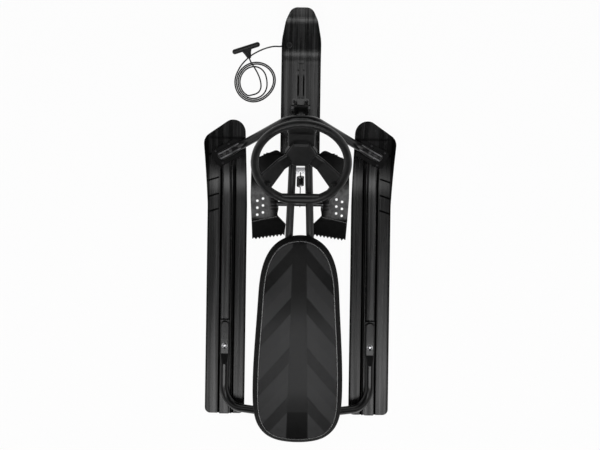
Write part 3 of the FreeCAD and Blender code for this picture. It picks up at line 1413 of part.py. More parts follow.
def make_right_pedal():
    """The right brake pedal: toe plate, tread with drain holes, and claw."""
    profile = [
        (V(0, CLAW_Y - CLAW_REACH, CLAW_Z - CLAW_DROP), 0),
        (V(0, CREASE_Y, CREASE_Z), CREASE_BEND),
        (V(0, TOE_Y - TOE_BACK, tread_height(TOE_Y - TOE_BACK)), TOE_BEND),
        (V(0, TOE_Y + TOE_LEAN, TOE_Z + TOE_RISE), 0),
    ]
    top = rounded_wire(profile, closed=False)
    lower = [(point - V(0, -2.0, PEDAL_PLATE), max(radius - 3, 0)) for point, radius in profile]
    bottom = rounded_wire(lower, closed=False)
    first = Part.LineSegment(profile[0][0], lower[0][0]).toShape()
    last = Part.LineSegment(profile[-1][0], lower[-1][0]).toShape()
    face = Part.Face(Part.Wire(Part.sortEdges(top.Edges + bottom.Edges + [first, last])[0]))
    plate = face.extrude(V(140, 0, 0))
    plate = plate.common(pedal_outline())
    boss = rod(V(PEDAL_INNER_X, AXLE_Y, AXLE_Z), V(PEDAL_OUTER_X, AXLE_Y, AXLE_Z), PEDAL_BOSS_RADIUS)
    ribs = []
    for x in PEDAL_RIB_X:
        rib = [
            V(x, AXLE_Y, AXLE_Z - 9),
            V(x, AXLE_Y, tread_height(AXLE_Y) - 3),
            V(x, CREASE_Y + 10, tread_height(CREASE_Y + 10) - 3),
            V(x, CREASE_Y + 10, tread_height(CREASE_Y + 10) - 9),
        ]
        ribs.append(prism(rib, V(PEDAL_RIB, 0, 0)))
    x = TIE_BOSS_X
    stem = [
        (V(x, TIE_Y - TIE_POST_HALF, tread_height(TIE_Y - TIE_POST_HALF) - 3), 0),
        (V(x, TIE_Y + TIE_POST_HALF, tread_height(TIE_Y + TIE_POST_HALF) - 3), 0),
        (V(x, TIE_Y + 0.96 * TIE_BOSS_RADIUS, TIE_Z), 0),
        (V(x, TIE_Y - 0.96 * TIE_BOSS_RADIUS, TIE_Z), 0),
    ]
    post = rounded_prism(stem, V(TIE_BOSS_LENGTH, 0, 0))
    eye = rod(V(x, TIE_Y, TIE_Z), V(x + TIE_BOSS_LENGTH, TIE_Y, TIE_Z), TIE_BOSS_RADIUS)
    pedal = plate
    for piece in [boss] + ribs + [post, eye]:
        pedal = pedal.fuse(piece)
    pedal = pedal.cut(rod(V(0, AXLE_Y, AXLE_Z), V(140, AXLE_Y, AXLE_Z), AXLE_RADIUS + AXLE_FIT))
    pedal = pedal.cut(rod(V(0, TIE_Y, TIE_Z), V(TIE_HALF, TIE_Y, TIE_Z), TIE_RADIUS + 0.05))
    for x, first_y in TREAD_ROWS:
        for row in range(3):
            spot = V(x, first_y + row * TREAD_PITCH, 0)
            pedal = pedal.cut(Part.makeCylinder(TREAD_HOLE_RADIUS, 200, spot))
    return biggest(pedal)


def pedal_outline():
    """Plan outline of the right pedal as a tall solid, with the claw's teeth."""
    front = [
        (V(36, -9, 0), 6),
        (V(59, 14, 0), 8),
        (V(56, 30, 0), 20),
        (V(57, 63, 0), 14),
        (V(83, 97, 0), 16),
        (V(46, 141, 0), 20),
        (V(46, 166, 0), 10),
        (V(58, TOE_Y + 1, 0), 14),
        (V(128, 157, 0), 16),
        (V(130, 60, 0), 200),
        (V(127, -4, 0), 20),
        (V(126.5, CLAW_Y + 1, 0), 1.5),
    ]
    teeth = []
    count = 9
    outer = V(122.0, CLAW_Y, 0)
    inner = V(122.0 - count * TOOTH_PITCH, CLAW_Y + 12.5, 0)
    step = (inner - outer) * (1.0 / count)
    for index in range(count):
        notch = outer + step * (index + 0.12) + V(0, TOOTH_DEPTH, 0)
        point = outer + step * (index + 0.62)
        teeth.append((notch, 0))
        teeth.append((point, 0))
    return rounded_prism(front + teeth, V(0, 0, 260))


def make_tie_bar():
    """The bar that joins the two pedals and takes the spring's hook."""
    return rod(V(-TIE_HALF, TIE_Y, TIE_Z), V(TIE_HALF, TIE_Y, TIE_Z), TIE_RADIUS)


def make_tie_clips():
    """Starlock clips on the bar against the pedals' inner faces."""
    clip = rod(V(TIE_BOSS_X - CLIP_PLATE, TIE_Y, TIE_Z), V(TIE_BOSS_X, TIE_Y, TIE_Z), TIE_RADIUS + CLIP_RIM)
    clip = clip.cut(rod(V(0, TIE_Y, TIE_Z), V(90, TIE_Y, TIE_Z), TIE_RADIUS + 0.02))
    return Part.makeCompound([clip, mirrored(clip)])


def make_buffers():
    """Rubber buffers under the main tubes that the tie bar rests against."""
    centre = main_point(TIE_Y)
    low = TIE_Z + TIE_RADIUS + BUFFER_GAP
    body = block(
        centre.x - BUFFER_HALF, centre.x + BUFFER_HALF,
        TIE_Y - BUFFER_HALF, TIE_Y + BUFFER_HALF, low, centre.z)
    body = body.cut(rod(main_point(MAIN_FRONT_Y), main_point(MAIN_REAR_Y), MAIN_RADIUS))
    buffer = biggest(body)
    return Part.makeCompound([buffer, mirrored(buffer)])


def anchor_height():
    """Middle height of the spring anchor plate."""
    return main_height(ANCHOR_Y)


def make_spring_anchor():
    """The zinc plate between the main tubes that holds the spring's front hook."""
    level = anchor_height()
    back = ANCHOR_Y - HOOK_HOLE_RADIUS - ANCHOR_WEB
    plate = block(-20, 20, back, back + ANCHOR_LENGTH, level - 1.25, level + 1.25)
    for side in (1, -1):
        front = main_point(MAIN_FRONT_Y)
        rear = main_point(MAIN_REAR_Y)
        tube = rod(V(side * front.x, front.y, front.z), V(side * rear.x, rear.y, rear.z), MAIN_RADIUS)
        plate = plate.cut(tube)
    plate = min(plate.Solids, key=lambda solid: abs(solid.CenterOfMass.x))
    return plate.cut(Part.makeCylinder(HOOK_HOLE_RADIUS, 20, V(0, ANCHOR_Y, level - 10)))


def make_spring():
    """The extension spring that lifts the brake, as one unbroken wire."""
    level = anchor_height()
    front = V(0, ANCHOR_Y, level)
    rear = V(0, TIE_Y, TIE_Z)
    axis = (rear - front).normalize()
    side = V(1, 0, 0)
    up = side.cross(axis)
    if up.z < 0:
        up = up * -1
    wrap = TIE_RADIUS + HOOK_GAP + SPRING_WIRE
    knots = []
    hook = HOOK_RADIUS
    eye = front + axis * hook
    for degrees in (-130, -60, 0, 90):
        angle = math.radians(degrees)
        point = eye - axis * (hook * math.cos(angle)) + up * (hook * math.sin(angle))
        heading = axis * (hook * math.sin(angle)) + up * (hook * math.cos(angle))
        knots.append((point, heading.normalize()))
    for index in range(SPRING_TURNS * 4 + 1):
        angle = math.pi / 2 * index
        centre = front + axis * (SPRING_LEAD + SPRING_PITCH * index / 4)
        point = centre + (up * math.cos(angle) + side * math.sin(angle)) * SPRING_COIL_RADIUS
        turn = (side * math.cos(angle) - up * math.sin(angle)) * SPRING_COIL_RADIUS
        heading = turn * (math.pi * 2) + axis * SPRING_PITCH
        knots.append((point, heading.normalize()))
    shank = SPRING_LEAD + SPRING_TURNS * SPRING_PITCH + SHANK_LEAD
    knots.append((front + axis * shank + up * wrap, V(axis)))
    for degrees in (90, 0, -90, -150):
        angle = math.radians(degrees)
        point = rear + axis * (wrap * math.cos(angle)) + up * (wrap * math.sin(angle))
        heading = axis * (wrap * math.sin(angle)) - up * (wrap * math.cos(angle))
        knots.append((point, heading.normalize()))
    wire = biarc_wire(knots)
    spring = sweep(wire, circle_at(knots[0][0], knots[0][1], SPRING_WIRE))
    ideal = math.pi * SPRING_WIRE ** 2 * wire.Length
    print("return_spring length %.1f volume share %.4f" % (wire.Length, spring.Volume / ideal))
    return spring


def seat_half_widths():
    """Right half of the seat's plan outline: shares of its length and of its half width."""
    return [
        (0.0, 0.0), (0.016, 0.346), (0.062, 0.615), (0.145, 0.805), (0.32, 0.909),
        (0.53, 0.970), (0.78, 1.0), (0.885, 0.938), (0.955, 0.748), (0.989, 0.440), (1.0, 0.0),
    ]


def seat_outline(inset, height):
    """Closed outline of the seat, drawn in by an inset, in the seat frame."""
    length = SEAT_FRONT_Y - SEAT_REAR_Y
    right = []
    for share, half in seat_half_widths():
        right.append(V(half * SEAT_HALF_WIDTH, SEAT_FRONT_Y - share * length, height))
    left = [V(-point.x, point.y, height) for point in reversed(right[1:-1])]
    curve = Part.BSplineCurve()
    curve.interpolate(right + left, PeriodicFlag=True)
    first = curve.FirstParameter
    last = curve.LastParameter
    points = []
    count = 36
    for index in range(count):
        parameter = first + (last - first) * index / count
        tangent = V(curve.tangent(parameter)[0])
        inward = V(-tangent.y, tangent.x, 0)
        if inward.dot(V(0, (SEAT_FRONT_Y + SEAT_REAR_Y) / 2, height) - curve.value(parameter)) < 0:
            inward = inward * -1
        points.append(curve.value(parameter) + inward * inset)
    inner = Part.BSplineCurve()
    inner.interpolate(points, PeriodicFlag=True)
    return Part.Wire(inner.toShape())


def seat_layer(inset, low, high):
    """An upright slab of the seat's outline."""
    return Part.Face(seat_outline(inset, low)).extrude(V(0, 0, high - low))


def make_seat_shell():
    """The moulded seat shell with flared sides and a rim round the pad."""
    top = SHELL_BOTTOM + SHELL_HEIGHT
    shell = Part.makeLoft([
        seat_outline(SHELL_TUCK, SHELL_BOTTOM),
        seat_outline(0.0, SHELL_BOTTOM + SHELL_LIP),
        seat_outline(SHELL_TUCK * 0.2, SHELL_BOTTOM + SHELL_BELLY),
        seat_outline(SHELL_INSET * 0.4, SHELL_BOTTOM + SHELL_HEIGHT * 0.62),
        seat_outline(SHELL_INSET, top),
    ], True, False)
    shell = shell.cut(seat_layer(PAD_INSET, PAD_DECK, top + 5))
    hollow = seat_layer(SHELL_INSET + SHELL_WALL, SHELL_BOTTOM - 5, PAD_DECK - SHELL_WALL)
    shell = shell.cut(hollow)
    bosses = []
    for x in (-SEAT_SCREW_X, SEAT_SCREW_X):
        for y in (STRAP_FRONT_Y, STRAP_REAR_Y):
            low = MAIN_RADIUS + STRAP_PLATE
            boss = rod(V(x, y, low), V(x, y, PAD_DECK - 1), SEAT_BOSS_RADIUS)
            bosses.append(boss)
    shell = shell.fuse(bosses)
    for x in (-SEAT_SCREW_X, SEAT_SCREW_X):
        for y in (STRAP_FRONT_Y, STRAP_REAR_Y):
            low = MAIN_RADIUS + STRAP_PLATE
            deep = MAIN_RADIUS + SEAT_SCREW_LENGTH + 1
            hole = rod(V(x, y, low - 5), V(x, y, deep), SEAT_SCREW_RADIUS + SEAT_SCREW_FIT)
            shell = shell.cut(hole)
    return seat_place(biggest(shell.removeSplitter()))


def make_seat_pad():
    """The cushion: upright edge, drawn-in shoulder and crown."""
    edge = PAD_INSET + PAD_GAP
    rise = PAD_CROWN - PAD_EDGE
    pad = Part.makeLoft([
        seat_outline(edge + 0.1 * PAD_ROUND, PAD_DECK),
        seat_outline(edge, PAD_EDGE - PAD_ROUND),
        seat_outline(edge + PAD_ROUND, PAD_EDGE + PAD_ROUND),
        seat_outline(edge + 0.36 * PAD_RISE, PAD_EDGE + 0.50 * rise),
        seat_outline(edge + PAD_RISE, PAD_EDGE + 0.76 * rise),
        seat_outline(edge + 1.8 * PAD_RISE, PAD_EDGE + 0.95 * rise),
        seat_outline(edge + 2.4 * PAD_RISE, PAD_CROWN),
    ], True, False)
    return seat_place(pad)


def make_strap(y):
    """A steel strap across the main tubes under the seat."""
    half = STRAP_HALF_LENGTH
    reach = STRAP_HALF_WIDTH
    low = MAIN_RADIUS
    corners = [
        (V(-half, y - reach, low), 10), (V(half, y - reach, low), 10),
        (V(half, y + reach, low), 10), (V(-half, y + reach, low), 10),
    ]
    strap = rounded_prism(corners, V(0, 0, STRAP_PLATE))
    for x in (-SEAT_SCREW_X, SEAT_SCREW_X):
        strap = strap.cut(rod(V(x, y, low - 5), V(x, y, low + 10), SEAT_SCREW_RADIUS + 3 * SEAT_SCREW_FIT))
    return seat_place(strap)


def make_seat_screws():
    """Screws from below through the straps into the seat shell."""
    screws = []
    for x in (-SEAT_SCREW_X, SEAT_SCREW_X):
        for y in (STRAP_FRONT_Y, STRAP_REAR_Y):
            shank = rod(V(x, y, MAIN_RADIUS), V(x, y, MAIN_RADIUS + SEAT_SCREW_LENGTH), SEAT_SCREW_RADIUS)
            seat = V(x, y, MAIN_RADIUS - SEAT_SCREW_HEAD)
            head = hexagon(seat, V(0, 0, 1), 2 * SEAT_SCREW_RADIUS, SEAT_SCREW_HEAD)
            screws.append(seat_place(shank.fuse(head).removeSplitter()))
    return Part.makeCompound(screws)


def save(name, shape):
    """Write one node, after a look at its solids."""
    for solid in shape.Solids:
        if not solid.isValid() or solid.Volume <= 0:
            print("check solid of", name, solid.isValid(), solid.Volume)
    shape.exportStep("parts/" + name + ".step")


def main():
    """Make every piece of the sled."""
    os.makedirs("parts", exist_ok=True)
    main_tube = make_main_tube()
    save("right_main_tube", main_tube)
    save("left_main_tube", mirrored(main_tube))
    save("tube_plugs", make_tube_plugs())
    save("head_cross_tube", make_cross_tube())
    save("head_tube", make_head_tube())
    save("upper_bush", make_bush(HEAD_TOP, -1))
    save("lower_bush", make_bush(HEAD_BOTTOM, 1))
    save("front_arch", make_front_arch())
    save("front_foot_screws", make_foot_screws())
    save("saddle_screws", make_saddle_screws())
    save("rear_hoop", make_rear_hoop())
    save("rear_foot_bolts", make_hoop_bolts())
    save("rear_foot_nuts", make_hoop_nuts())
    right_ski = make_right_ski()
    save("right_ski", right_ski)
    save("left_ski", mirrored(right_ski))
    save("front_ski", make_front_ski())
    save("cord_grommet", make_grommet())
    save("cord_knot", make_knot())
    start, heading = cord_exit()
    save("pull_cord_lead", make_cord_stretch("pull_cord_lead", lead_points(), heading))
    save("pull_cord_coil", make_coil())
    tail_heading = coil_heading(COIL_START_DEG + COIL_SWEEP_DEG)
    save("pull_cord_tail", make_cord_stretch("pull_cord_tail", tail_points(), tail_heading))
    save("pull_handle", make_handle())
    save("steering_wheel", make_wheel())
    save("hub_cover", make_hub_cover())
    save("wheel_clamp_bolt", make_clamp_bolt())
    save("wheel_clamp_nut", make_clamp_nut())
    save("thrust_washer", make_thrust_washer())
    save("steering_column", make_column())
    save("column_collar", make_collar())
    save("collar_pin", make_collar_pin())
    save("ski_fork", make_fork())
    save("pivot_bolt", make_pivot_bolt())
    save("pivot_nut", make_pivot_nut())
    save("pivot_washers", make_pivot_washers())
    save("ski_bracket", make_ski_bracket())
    save("pivot_sleeve", make_pivot_sleeve())
    save("bracket_screws", make_bracket_screws())
    save("brake_hangers", make_hangers())
    save("brake_axle", make_axle())
    save("axle_caps", make_axle_caps())
    right_pedal = make_right_pedal()
    save("right_pedal", right_pedal)
    save("left_pedal", mirrored(right_pedal))
    save("tie_bar", make_tie_bar())
    save("tie_bar_clips", make_tie_clips())
    save("brake_buffers", make_buffers())
    save("spring_anchor", make_spring_anchor())
    save("return_spring", make_spring())
    save("seat_shell", make_seat_shell())
    save("seat_pad", make_seat_pad())
    save("front_seat_strap", make_strap(STRAP_FRONT_Y))
    save("rear_seat_strap", make_strap(STRAP_REAR_Y))
    save("seat_screws", make_seat_screws())


main()
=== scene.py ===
"""Finishes, soft pieces and small moulded details of the steering sled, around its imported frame."""

import json
import math

import bmesh
import bpy
from bpy.props import FloatProperty, FloatVectorProperty, IntProperty, PointerProperty
from bpy.types import Operator, Panel, PropertyGroup
from mathutils import Matrix, Vector

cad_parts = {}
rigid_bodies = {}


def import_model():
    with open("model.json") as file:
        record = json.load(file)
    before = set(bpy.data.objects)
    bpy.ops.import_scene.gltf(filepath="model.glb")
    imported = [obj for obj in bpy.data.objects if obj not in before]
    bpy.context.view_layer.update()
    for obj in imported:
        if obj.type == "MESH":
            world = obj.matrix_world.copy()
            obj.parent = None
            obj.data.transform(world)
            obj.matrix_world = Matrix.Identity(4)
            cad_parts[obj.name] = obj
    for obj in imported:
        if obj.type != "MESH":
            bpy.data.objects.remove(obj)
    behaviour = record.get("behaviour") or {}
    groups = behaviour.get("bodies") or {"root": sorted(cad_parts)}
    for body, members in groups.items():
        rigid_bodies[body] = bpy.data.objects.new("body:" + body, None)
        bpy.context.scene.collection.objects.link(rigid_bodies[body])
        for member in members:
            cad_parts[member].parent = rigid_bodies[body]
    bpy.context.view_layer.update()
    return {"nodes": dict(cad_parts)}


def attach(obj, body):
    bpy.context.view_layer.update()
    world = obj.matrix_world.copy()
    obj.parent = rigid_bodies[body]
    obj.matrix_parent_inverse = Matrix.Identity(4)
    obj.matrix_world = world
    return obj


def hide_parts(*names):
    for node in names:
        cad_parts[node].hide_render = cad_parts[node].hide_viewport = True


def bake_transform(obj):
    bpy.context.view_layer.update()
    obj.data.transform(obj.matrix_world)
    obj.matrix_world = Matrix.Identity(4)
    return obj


bl_info = {
    "name": "Steering sled",
    "version": (1, 0, 0),
    "blender": (4, 5, 0),
    "location": "View3D > Sidebar > Sled",
    "description": "Dresses the packed steering sled with finishes, seat pad, cord and details",
    "category": "Object",
}

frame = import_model()
NODES = frame["nodes"]

# Places and sizes of the construction, in metres.
SKI_MIDDLE = 0.197
SKI_HALF = 0.054
SKI_BEND_Y = 0.042
SKI_TOP_BEND = 0.322
SKI_BEND = 0.330
SKI_NOSE = math.radians(24)
TIP_GRID = 0.0042
SIDE_GRID_Y = 0.185
FRONT_GRID_Y = 0.520

# Slanting marks and studs moulded on the side skis.
MARK_PLACES = (0.1815, 0.1120, 0.0680, 0.0265)
MARK_SIZE = (0.030, 0.0044, 0.0026)
MARK_OUT = 0.0375
MARK_TURN = math.radians(18)
MARK_ROUND = 0.0007
STUD_COUNT = 24
STUD_START = 0.060
STUD_STEP = 0.0046
STUD_IN = 0.0232
STUD_LIFT = 0.0002
STUD_SIZE = (0.0021, 0.0016, 0.0014)

# The arch's crushed feet: run from the tube and height of a rolled edge.
ARCH_FOOT = Vector((0.146, 0.207))
ARCH_END = Vector((0.220, 0.1675))
FOOT_EDGE = 0.0066
FOOT_EDGE_WIRE = 0.0021
FOOT_EDGE_LINE = (
    (0.018, 0.0765), (0.026, 0.0765), (0.036, 0.0722), (0.045, 0.0668), (0.060, 0.0662), (0.080, 0.0662),
)

# The seat and the pattern pressed into its pad.
SEAT_FRONT_Y = -0.0365
SEAT_SLOPE = math.atan(0.0693)
SEAT_ORIGIN = Vector((0, 0.1903, 0.188))
SEAT_RIM = 0.0482
BAND_HALF = 0.0165
BAND_SPREAD = 0.021
ARM_LEAD = 0.030
HEEL_BACK = 0.450
PAD_PRESSURE = 4.0
PAD_FRAMES = 20

# The return spring and the ridges of the pedals.
SPRING_FRONT = Vector((0, 0.124, 0.18341))
SPRING_REAR = Vector((0, 0.043, 0.150))
SPRING_WIRE = 0.0013
SPRING_HOOK = 0.0046
SPRING_TURN = 0.0085
SPRING_WRAP = 0.00765
SPRING_TURNS = 8
SPRING_PITCH = 0.00315
SPRING_BEGIN = 0.012
SPRING_SHANK = (0.004, 0.007, 0.011, 0.018)
POINTS_PER_TURN = 16
RIDGE_WIRE = 0.0016
PEDAL_RIDGE = (
    (0.060, 0.010, 0.0989), (0.082, 0.006, 0.0976), (0.104, 0.001, 0.0955), (0.126, -0.004, 0.0920),
)

# The wheel's lower bar: reach and height in the wheel's plane.
WHEEL_CENTRE = Vector((0.0, 0.139, 0.300))
WHEEL_TILT = math.radians(38)
WHEEL_BAR_RADIUS = 0.007
WHEEL_BAR = (
    (0.082, -0.056), (0.089, -0.074), (0.083, -0.092), (0.062, -0.0995), (0.024, -0.099),
)

# The cord, the height of its middle on the floor, and its coil.
CORD_EXIT = Vector((-0.033, 0.483681, 0.014047))
CORD_REST = 0.0022
CORD_PLAIT = 0.009
COIL_X = -0.1225
COIL_Y = 0.3785
COIL_START = 150
COIL_DENT = 0.009
COIL_DENT_AT = math.radians(315)
COIL_PULL = 0.015
COIL_PULL_AT = math.radians(20)

# The stage: a floor whose far edge rises as a backdrop, and the places and sizes of the soft boxes.
FLOOR_HALF = 30.0
FLOOR_RISE = 3.0
FLOOR_DROP = 0.0004
SENSOR = 36.0
REAR_BOX = ((0.0, -1.08, 3.1), (4.0, 0.75))
FRONT_BOX = ((0.0, 0.74, 3.1), (4.0, 0.65))
TOP_BOX = ((0.0, -0.10, 3.2), (4.0, 0.95))
SIDE_BOX_OUT = 3.0
SIDE_BOX_HEIGHT = 1.5
SIDE_BOX_SIZE = (2.4, 1.2)

WIRE_SHARP = math.radians(60)

PAINTED = (
    "right_main_tube", "left_main_tube", "head_cross_tube", "head_tube", "front_arch", "rear_hoop",
    "brake_hangers", "front_seat_strap", "rear_seat_strap", "steering_column", "ski_fork",
    "ski_bracket", "column_collar",
)
ZINCED = (
    "rear_foot_bolts", "rear_foot_nuts", "wheel_clamp_bolt", "wheel_clamp_nut", "collar_pin",
    "spring_anchor", "seat_screws",
)
BLACKED = (
    "front_foot_screws", "saddle_screws", "brake_axle", "tie_bar", "tie_bar_clips", "pivot_sleeve",
    "pivot_bolt", "pivot_nut", "pivot_washers", "bracket_screws",
)
NYLON = ("upper_bush", "lower_bush", "thrust_washer", "axle_caps", "tube_plugs")
RUBBER = ("brake_buffers", "cord_grommet")


class Value:
    """An output of a shader node, with arithmetic that adds Math nodes."""

    def __init__(self, finish, socket):
        self.finish = finish
        self.socket = socket

    def __add__(self, other):
        return self.finish.maths("ADD", self, other)

    __radd__ = __add__

    def __sub__(self, other):
        return self.finish.maths("SUBTRACT", self, other)

    def __rsub__(self, other):
        return self.finish.maths("SUBTRACT", other, self)

    def __mul__(self, other):
        return self.finish.maths("MULTIPLY", self, other)

    __rmul__ = __mul__

    def __pow__(self, other):
        return self.finish.maths("POWER", self, other)

    def __abs__(self):
        return self.finish.maths("ABSOLUTE", self)

    def sine(self):
        return self.finish.maths("SINE", self)

    def highest(self, other):
        return self.finish.maths("MAXIMUM", self, other)

    def ramp(self, low, high):
        """0 below low, 1 above high, smooth between."""
        settings = {"interpolation_type": "SMOOTHSTEP"}
        limits = {"Value": self, "From Min": low, "From Max": high}
        return self.finish.node("ShaderNodeMapRange", settings, limits)


class Finish:
    """A material of the sled and the nodes that make it."""

    def __init__(self, name, **constants):
        self.material = bpy.data.materials.new(name)
        self.material.use_nodes = True
        self.tree = self.material.node_tree
        self.shader = self.tree.nodes["Principled BSDF"]
        for socket, value in constants.items():
            self.shader.inputs[socket.replace("_", " ")].default_value = value

    def node(self, kind, settings=None, sockets=None, output=0):
        """Add a node, set it up, and give one of its outputs."""
        made = self.tree.nodes.new(kind)
        for name, value in (settings or {}).items():
            setattr(made, name, value)
        for name, value in (sockets or {}).items():
            self.feed(made.inputs[name], value)
        return Value(self, made.outputs[output])

    def feed(self, target, value):
        """Link a value to a socket, or set the socket."""
        if isinstance(value, Value):
            self.tree.links.new(value.socket, target)
        else:
            target.default_value = value

    def maths(self, operation, *terms):
        return self.node("ShaderNodeMath", {"operation": operation}, dict(enumerate(terms)))

    def place(self):
        """The three Object coordinates."""
        where = self.node("ShaderNodeTexCoord", output="Object")
        parts = self.tree.nodes.new("ShaderNodeSeparateXYZ")
        self.feed(parts.inputs[0], where)
        return [Value(self, parts.outputs[axis]) for axis in range(3)]

    def stretched(self, scale):
        """Object coordinates, scaled per axis."""
        where = self.node("ShaderNodeTexCoord", output="Object")
        return self.node("ShaderNodeMapping", None, {"Vector": where, "Scale": scale})

    def noise(self, scale, detail=2.0, roughness=0.5):
        """Noise with a feature count per metre, one for each axis."""
        sockets = {"Vector": self.stretched(scale), "Scale": 1.0, "Detail": detail, "Roughness": roughness}
        return self.node("ShaderNodeTexNoise", None, sockets)

    def cells(self, scale, randomness=1.0):
        """Distance to the nearest of scattered points."""
        sockets = {"Vector": self.stretched(scale), "Scale": 1.0, "Randomness": randomness}
        return self.node("ShaderNodeTexVoronoi", None, sockets)

    def blend(self, share, first, second):
        """A colour between two colours."""
        return self.node("ShaderNodeMix", {"data_type": "RGBA"}, {0: share, 6: first, 7: second}, 2)

    def bump(self, height, distance, strength=1.0):
        """Raise the surface by a height of 0 to 1 times a distance in metres."""
        sockets = {"Height": height, "Distance": distance, "Strength": strength}
        self.feed(self.shader.inputs["Normal"], self.node("ShaderNodeBump", None, sockets))

    def set(self, **values):
        for socket, value in values.items():
            self.feed(self.shader.inputs[socket.replace("_", " ")], value)
        return self.material

    def dull(self, share, level):
        """Cover a share of the finish with a matt dark layer of a level, used as painted shade."""
        painted_shade = self.tree.nodes.new("ShaderNodeBsdfPrincipled")
        painted_shade.inputs["Base Color"].default_value = grey(level)
        painted_shade.inputs["Roughness"].default_value = 0.9
        painted_shade.inputs["Specular IOR Level"].default_value = 0.0
        layers = {0: share, 1: Value(self, self.shader.outputs[0]), 2: Value(self, painted_shade.outputs[0])}
        mixed = self.node("ShaderNodeMixShader", None, layers)
        self.feed(self.tree.nodes["Material Output"].inputs["Surface"], mixed)


def grey(level):
    """A neutral colour of a linear level."""
    return (level, level, level * 1.02, 1.0)


def put_on(material, *names):
    """Give CAD nodes a material."""
    for name in names:
        NODES[name].data.materials.clear()
        NODES[name].data.materials.append(material)


def make_piece(name, shape, material, body, sharp=math.radians(40)):
    """Turn a finished bmesh into a piece that rides on a body."""
    bmesh.ops.recalc_face_normals(shape, faces=shape.faces)
    mesh = bpy.data.meshes.new(name)
    shape.to_mesh(mesh)
    shape.free()
    return place_mesh(name, mesh, material, body, sharp)


def place_mesh(name, mesh, material, body, sharp=math.radians(40)):
    """Make an object of a mesh, shaded smooth between sharp edges."""
    mesh.polygons.foreach_set("use_smooth", [True] * len(mesh.polygons))
    mesh.set_sharp_from_angle(angle=sharp)
    mesh.materials.clear()
    mesh.materials.append(material)
    piece = bpy.data.objects.new(name, mesh)
    bpy.context.scene.collection.objects.link(piece)
    if body:
        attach(piece, body)
    return piece


def frame_paint(level):
    """Gloss powder coat with orange peel, dust and a few rubbed places."""
    finish = Finish("frame_paint", Specular_IOR_Level=0.22, Coat_Roughness=0.10)
    peel = finish.noise((700, 700, 700), 2.0)
    cloud = finish.noise((14, 14, 14), 4.0)
    rubbed = finish.noise((160, 40, 160), 6.0, 0.7).ramp(0.60, 0.74)
    colour = finish.blend(rubbed * 0.5 + cloud * 0.3, grey(level), grey(level * 2.6))
    finish.bump(peel, 0.00012, 0.35)
    roughness = 0.24 + rubbed * 0.16 + cloud * 0.10
    return finish.set(Base_Color=colour, Roughness=roughness, Coat_Weight=0.22 - rubbed * 0.15)


def ski_plastic(name, middle, level, grid_from, dull):
    """Moulded ski plastic: painted shade along the edges and where the given function puts it, lengthwise
    flow streaks that are partly painted highlights, fine grain and a gridded tip.
    """
    finish = Finish(name, Specular_IOR_Level=0.32)
    x, y, z = finish.place()
    across = abs(x) - middle
    streak = finish.noise((300, 3.2, 12), 2.0)
    broad = finish.noise((90, 2.2, 7), 2.0)
    scuff = finish.noise((900, 26, 80), 5.0, 0.65).ramp(0.60, 0.74)
    grain = finish.noise((2400, 2400, 2400), 2.0)
    # Painted shade along the outer edges, darkest at the edge.
    edge_shade = (abs(across) + streak * 0.002).ramp(SKI_HALF - 0.0085, SKI_HALF - 0.0005)
    line_x = abs((x * (math.pi / TIP_GRID)).sine()) ** 10
    line_y = abs((y * (math.pi / TIP_GRID)).sine()) ** 10
    grid = line_x.highest(line_y) * y.ramp(grid_from, grid_from + 0.02)
    # Lengthwise streaks: partly the moulding's flow lines, partly painted highlight streaks; between them the
    # ski is dulled.
    flow_and_sheen = (streak * 0.8 + broad * 3.2 - 1.50).ramp(0.0, 1.0)
    # Painted shade: matt black laid over the edges, the given lines and hollows, and the gaps between the
    # streaks.
    painted_shade = (edge_shade * 0.9).highest(dull(across, y, z)).highest((1 - flow_and_sheen) * 0.5)
    # Paler on the streaks and scuffs: the scuffs are wear, the streaks partly painted highlights.
    colour = finish.blend((flow_and_sheen * 0.8 + scuff * 0.4).ramp(0.0, 1.1), grey(level * 0.50), grey(level * 1.8))
    finish.bump(grain * 0.2 + streak * 0.3 + grid * 0.8, 0.0002, 0.3)
    finish.dull(painted_shade, level * 0.15)
    return finish.set(Base_Color=colour, Roughness=0.21 + streak * 0.10 + scuff * 0.14)


def side_ski_shade(across, y, z):
    """Painted shade on a side ski: dark lines in the grooves beside its rib and bead, a darker inner flange,
    and a dark raised pad under the arch's foot.
    """
    # Painted shade in the grooves and over the inner flange, stopping before the nose.
    shade_lines = groove(across, 0.0170, 0.0042).highest(groove(across, -0.0162, 0.0026))
    shade_lines = shade_lines.highest(groove(across, -0.0215, 0.0036))
    shade_lines = shade_lines.highest((1 - across.ramp(-0.026, -0.022)) * 0.25)
    # Painted shade on the raised pad under the arch's foot.
    shade_under_foot = z.ramp(0.0545, 0.0570) * (1 - y.ramp(0.220, 0.228)) * 0.85
    return (shade_lines * (1 - y.ramp(0.135, 0.165))).highest(shade_under_foot)


def front_ski_shade(across, y, z):
    """Painted shade in the hollows beside the front ski's middle rib under its bracket, and in dark lines
    along its flutes.
    """
    # Painted shade in the hollows beside the rib, under the bracket.
    beside = groove(across, 0.0075, 0.0030) * y.ramp(0.335, 0.345) * (1 - y.ramp(0.395, 0.405))
    # Painted shade in lines along the flutes, up to the bracket.
    flute_shade = abs((across * (math.pi / 0.0105)).sine()).ramp(0.93, 1.0) * 0.35 * y.ramp(0.18, 0.20)
    return beside.highest(flute_shade * (1 - y.ramp(0.395, 0.420)))


def groove(across, middle, half):
    """1 on a line along the ski, 0 beside it."""
    return 1 - abs(across - middle).ramp(half * 0.5, half)


def wheel_plastic(name, level, roughness, cell):
    """Grained moulding plastic of the wheel and its cover."""
    finish = Finish(name, Specular_IOR_Level=0.26)
    pebble = finish.cells((cell, cell, cell))
    handled = finish.noise((30, 30, 30), 5.0, 0.6)
    colour = finish.blend(handled.ramp(0.3, 0.75), grey(level * 0.8), grey(level * 1.7))
    finish.bump(pebble, 0.00018, 0.45)
    return finish.set(Base_Color=colour, Roughness=roughness + handled * 0.14)


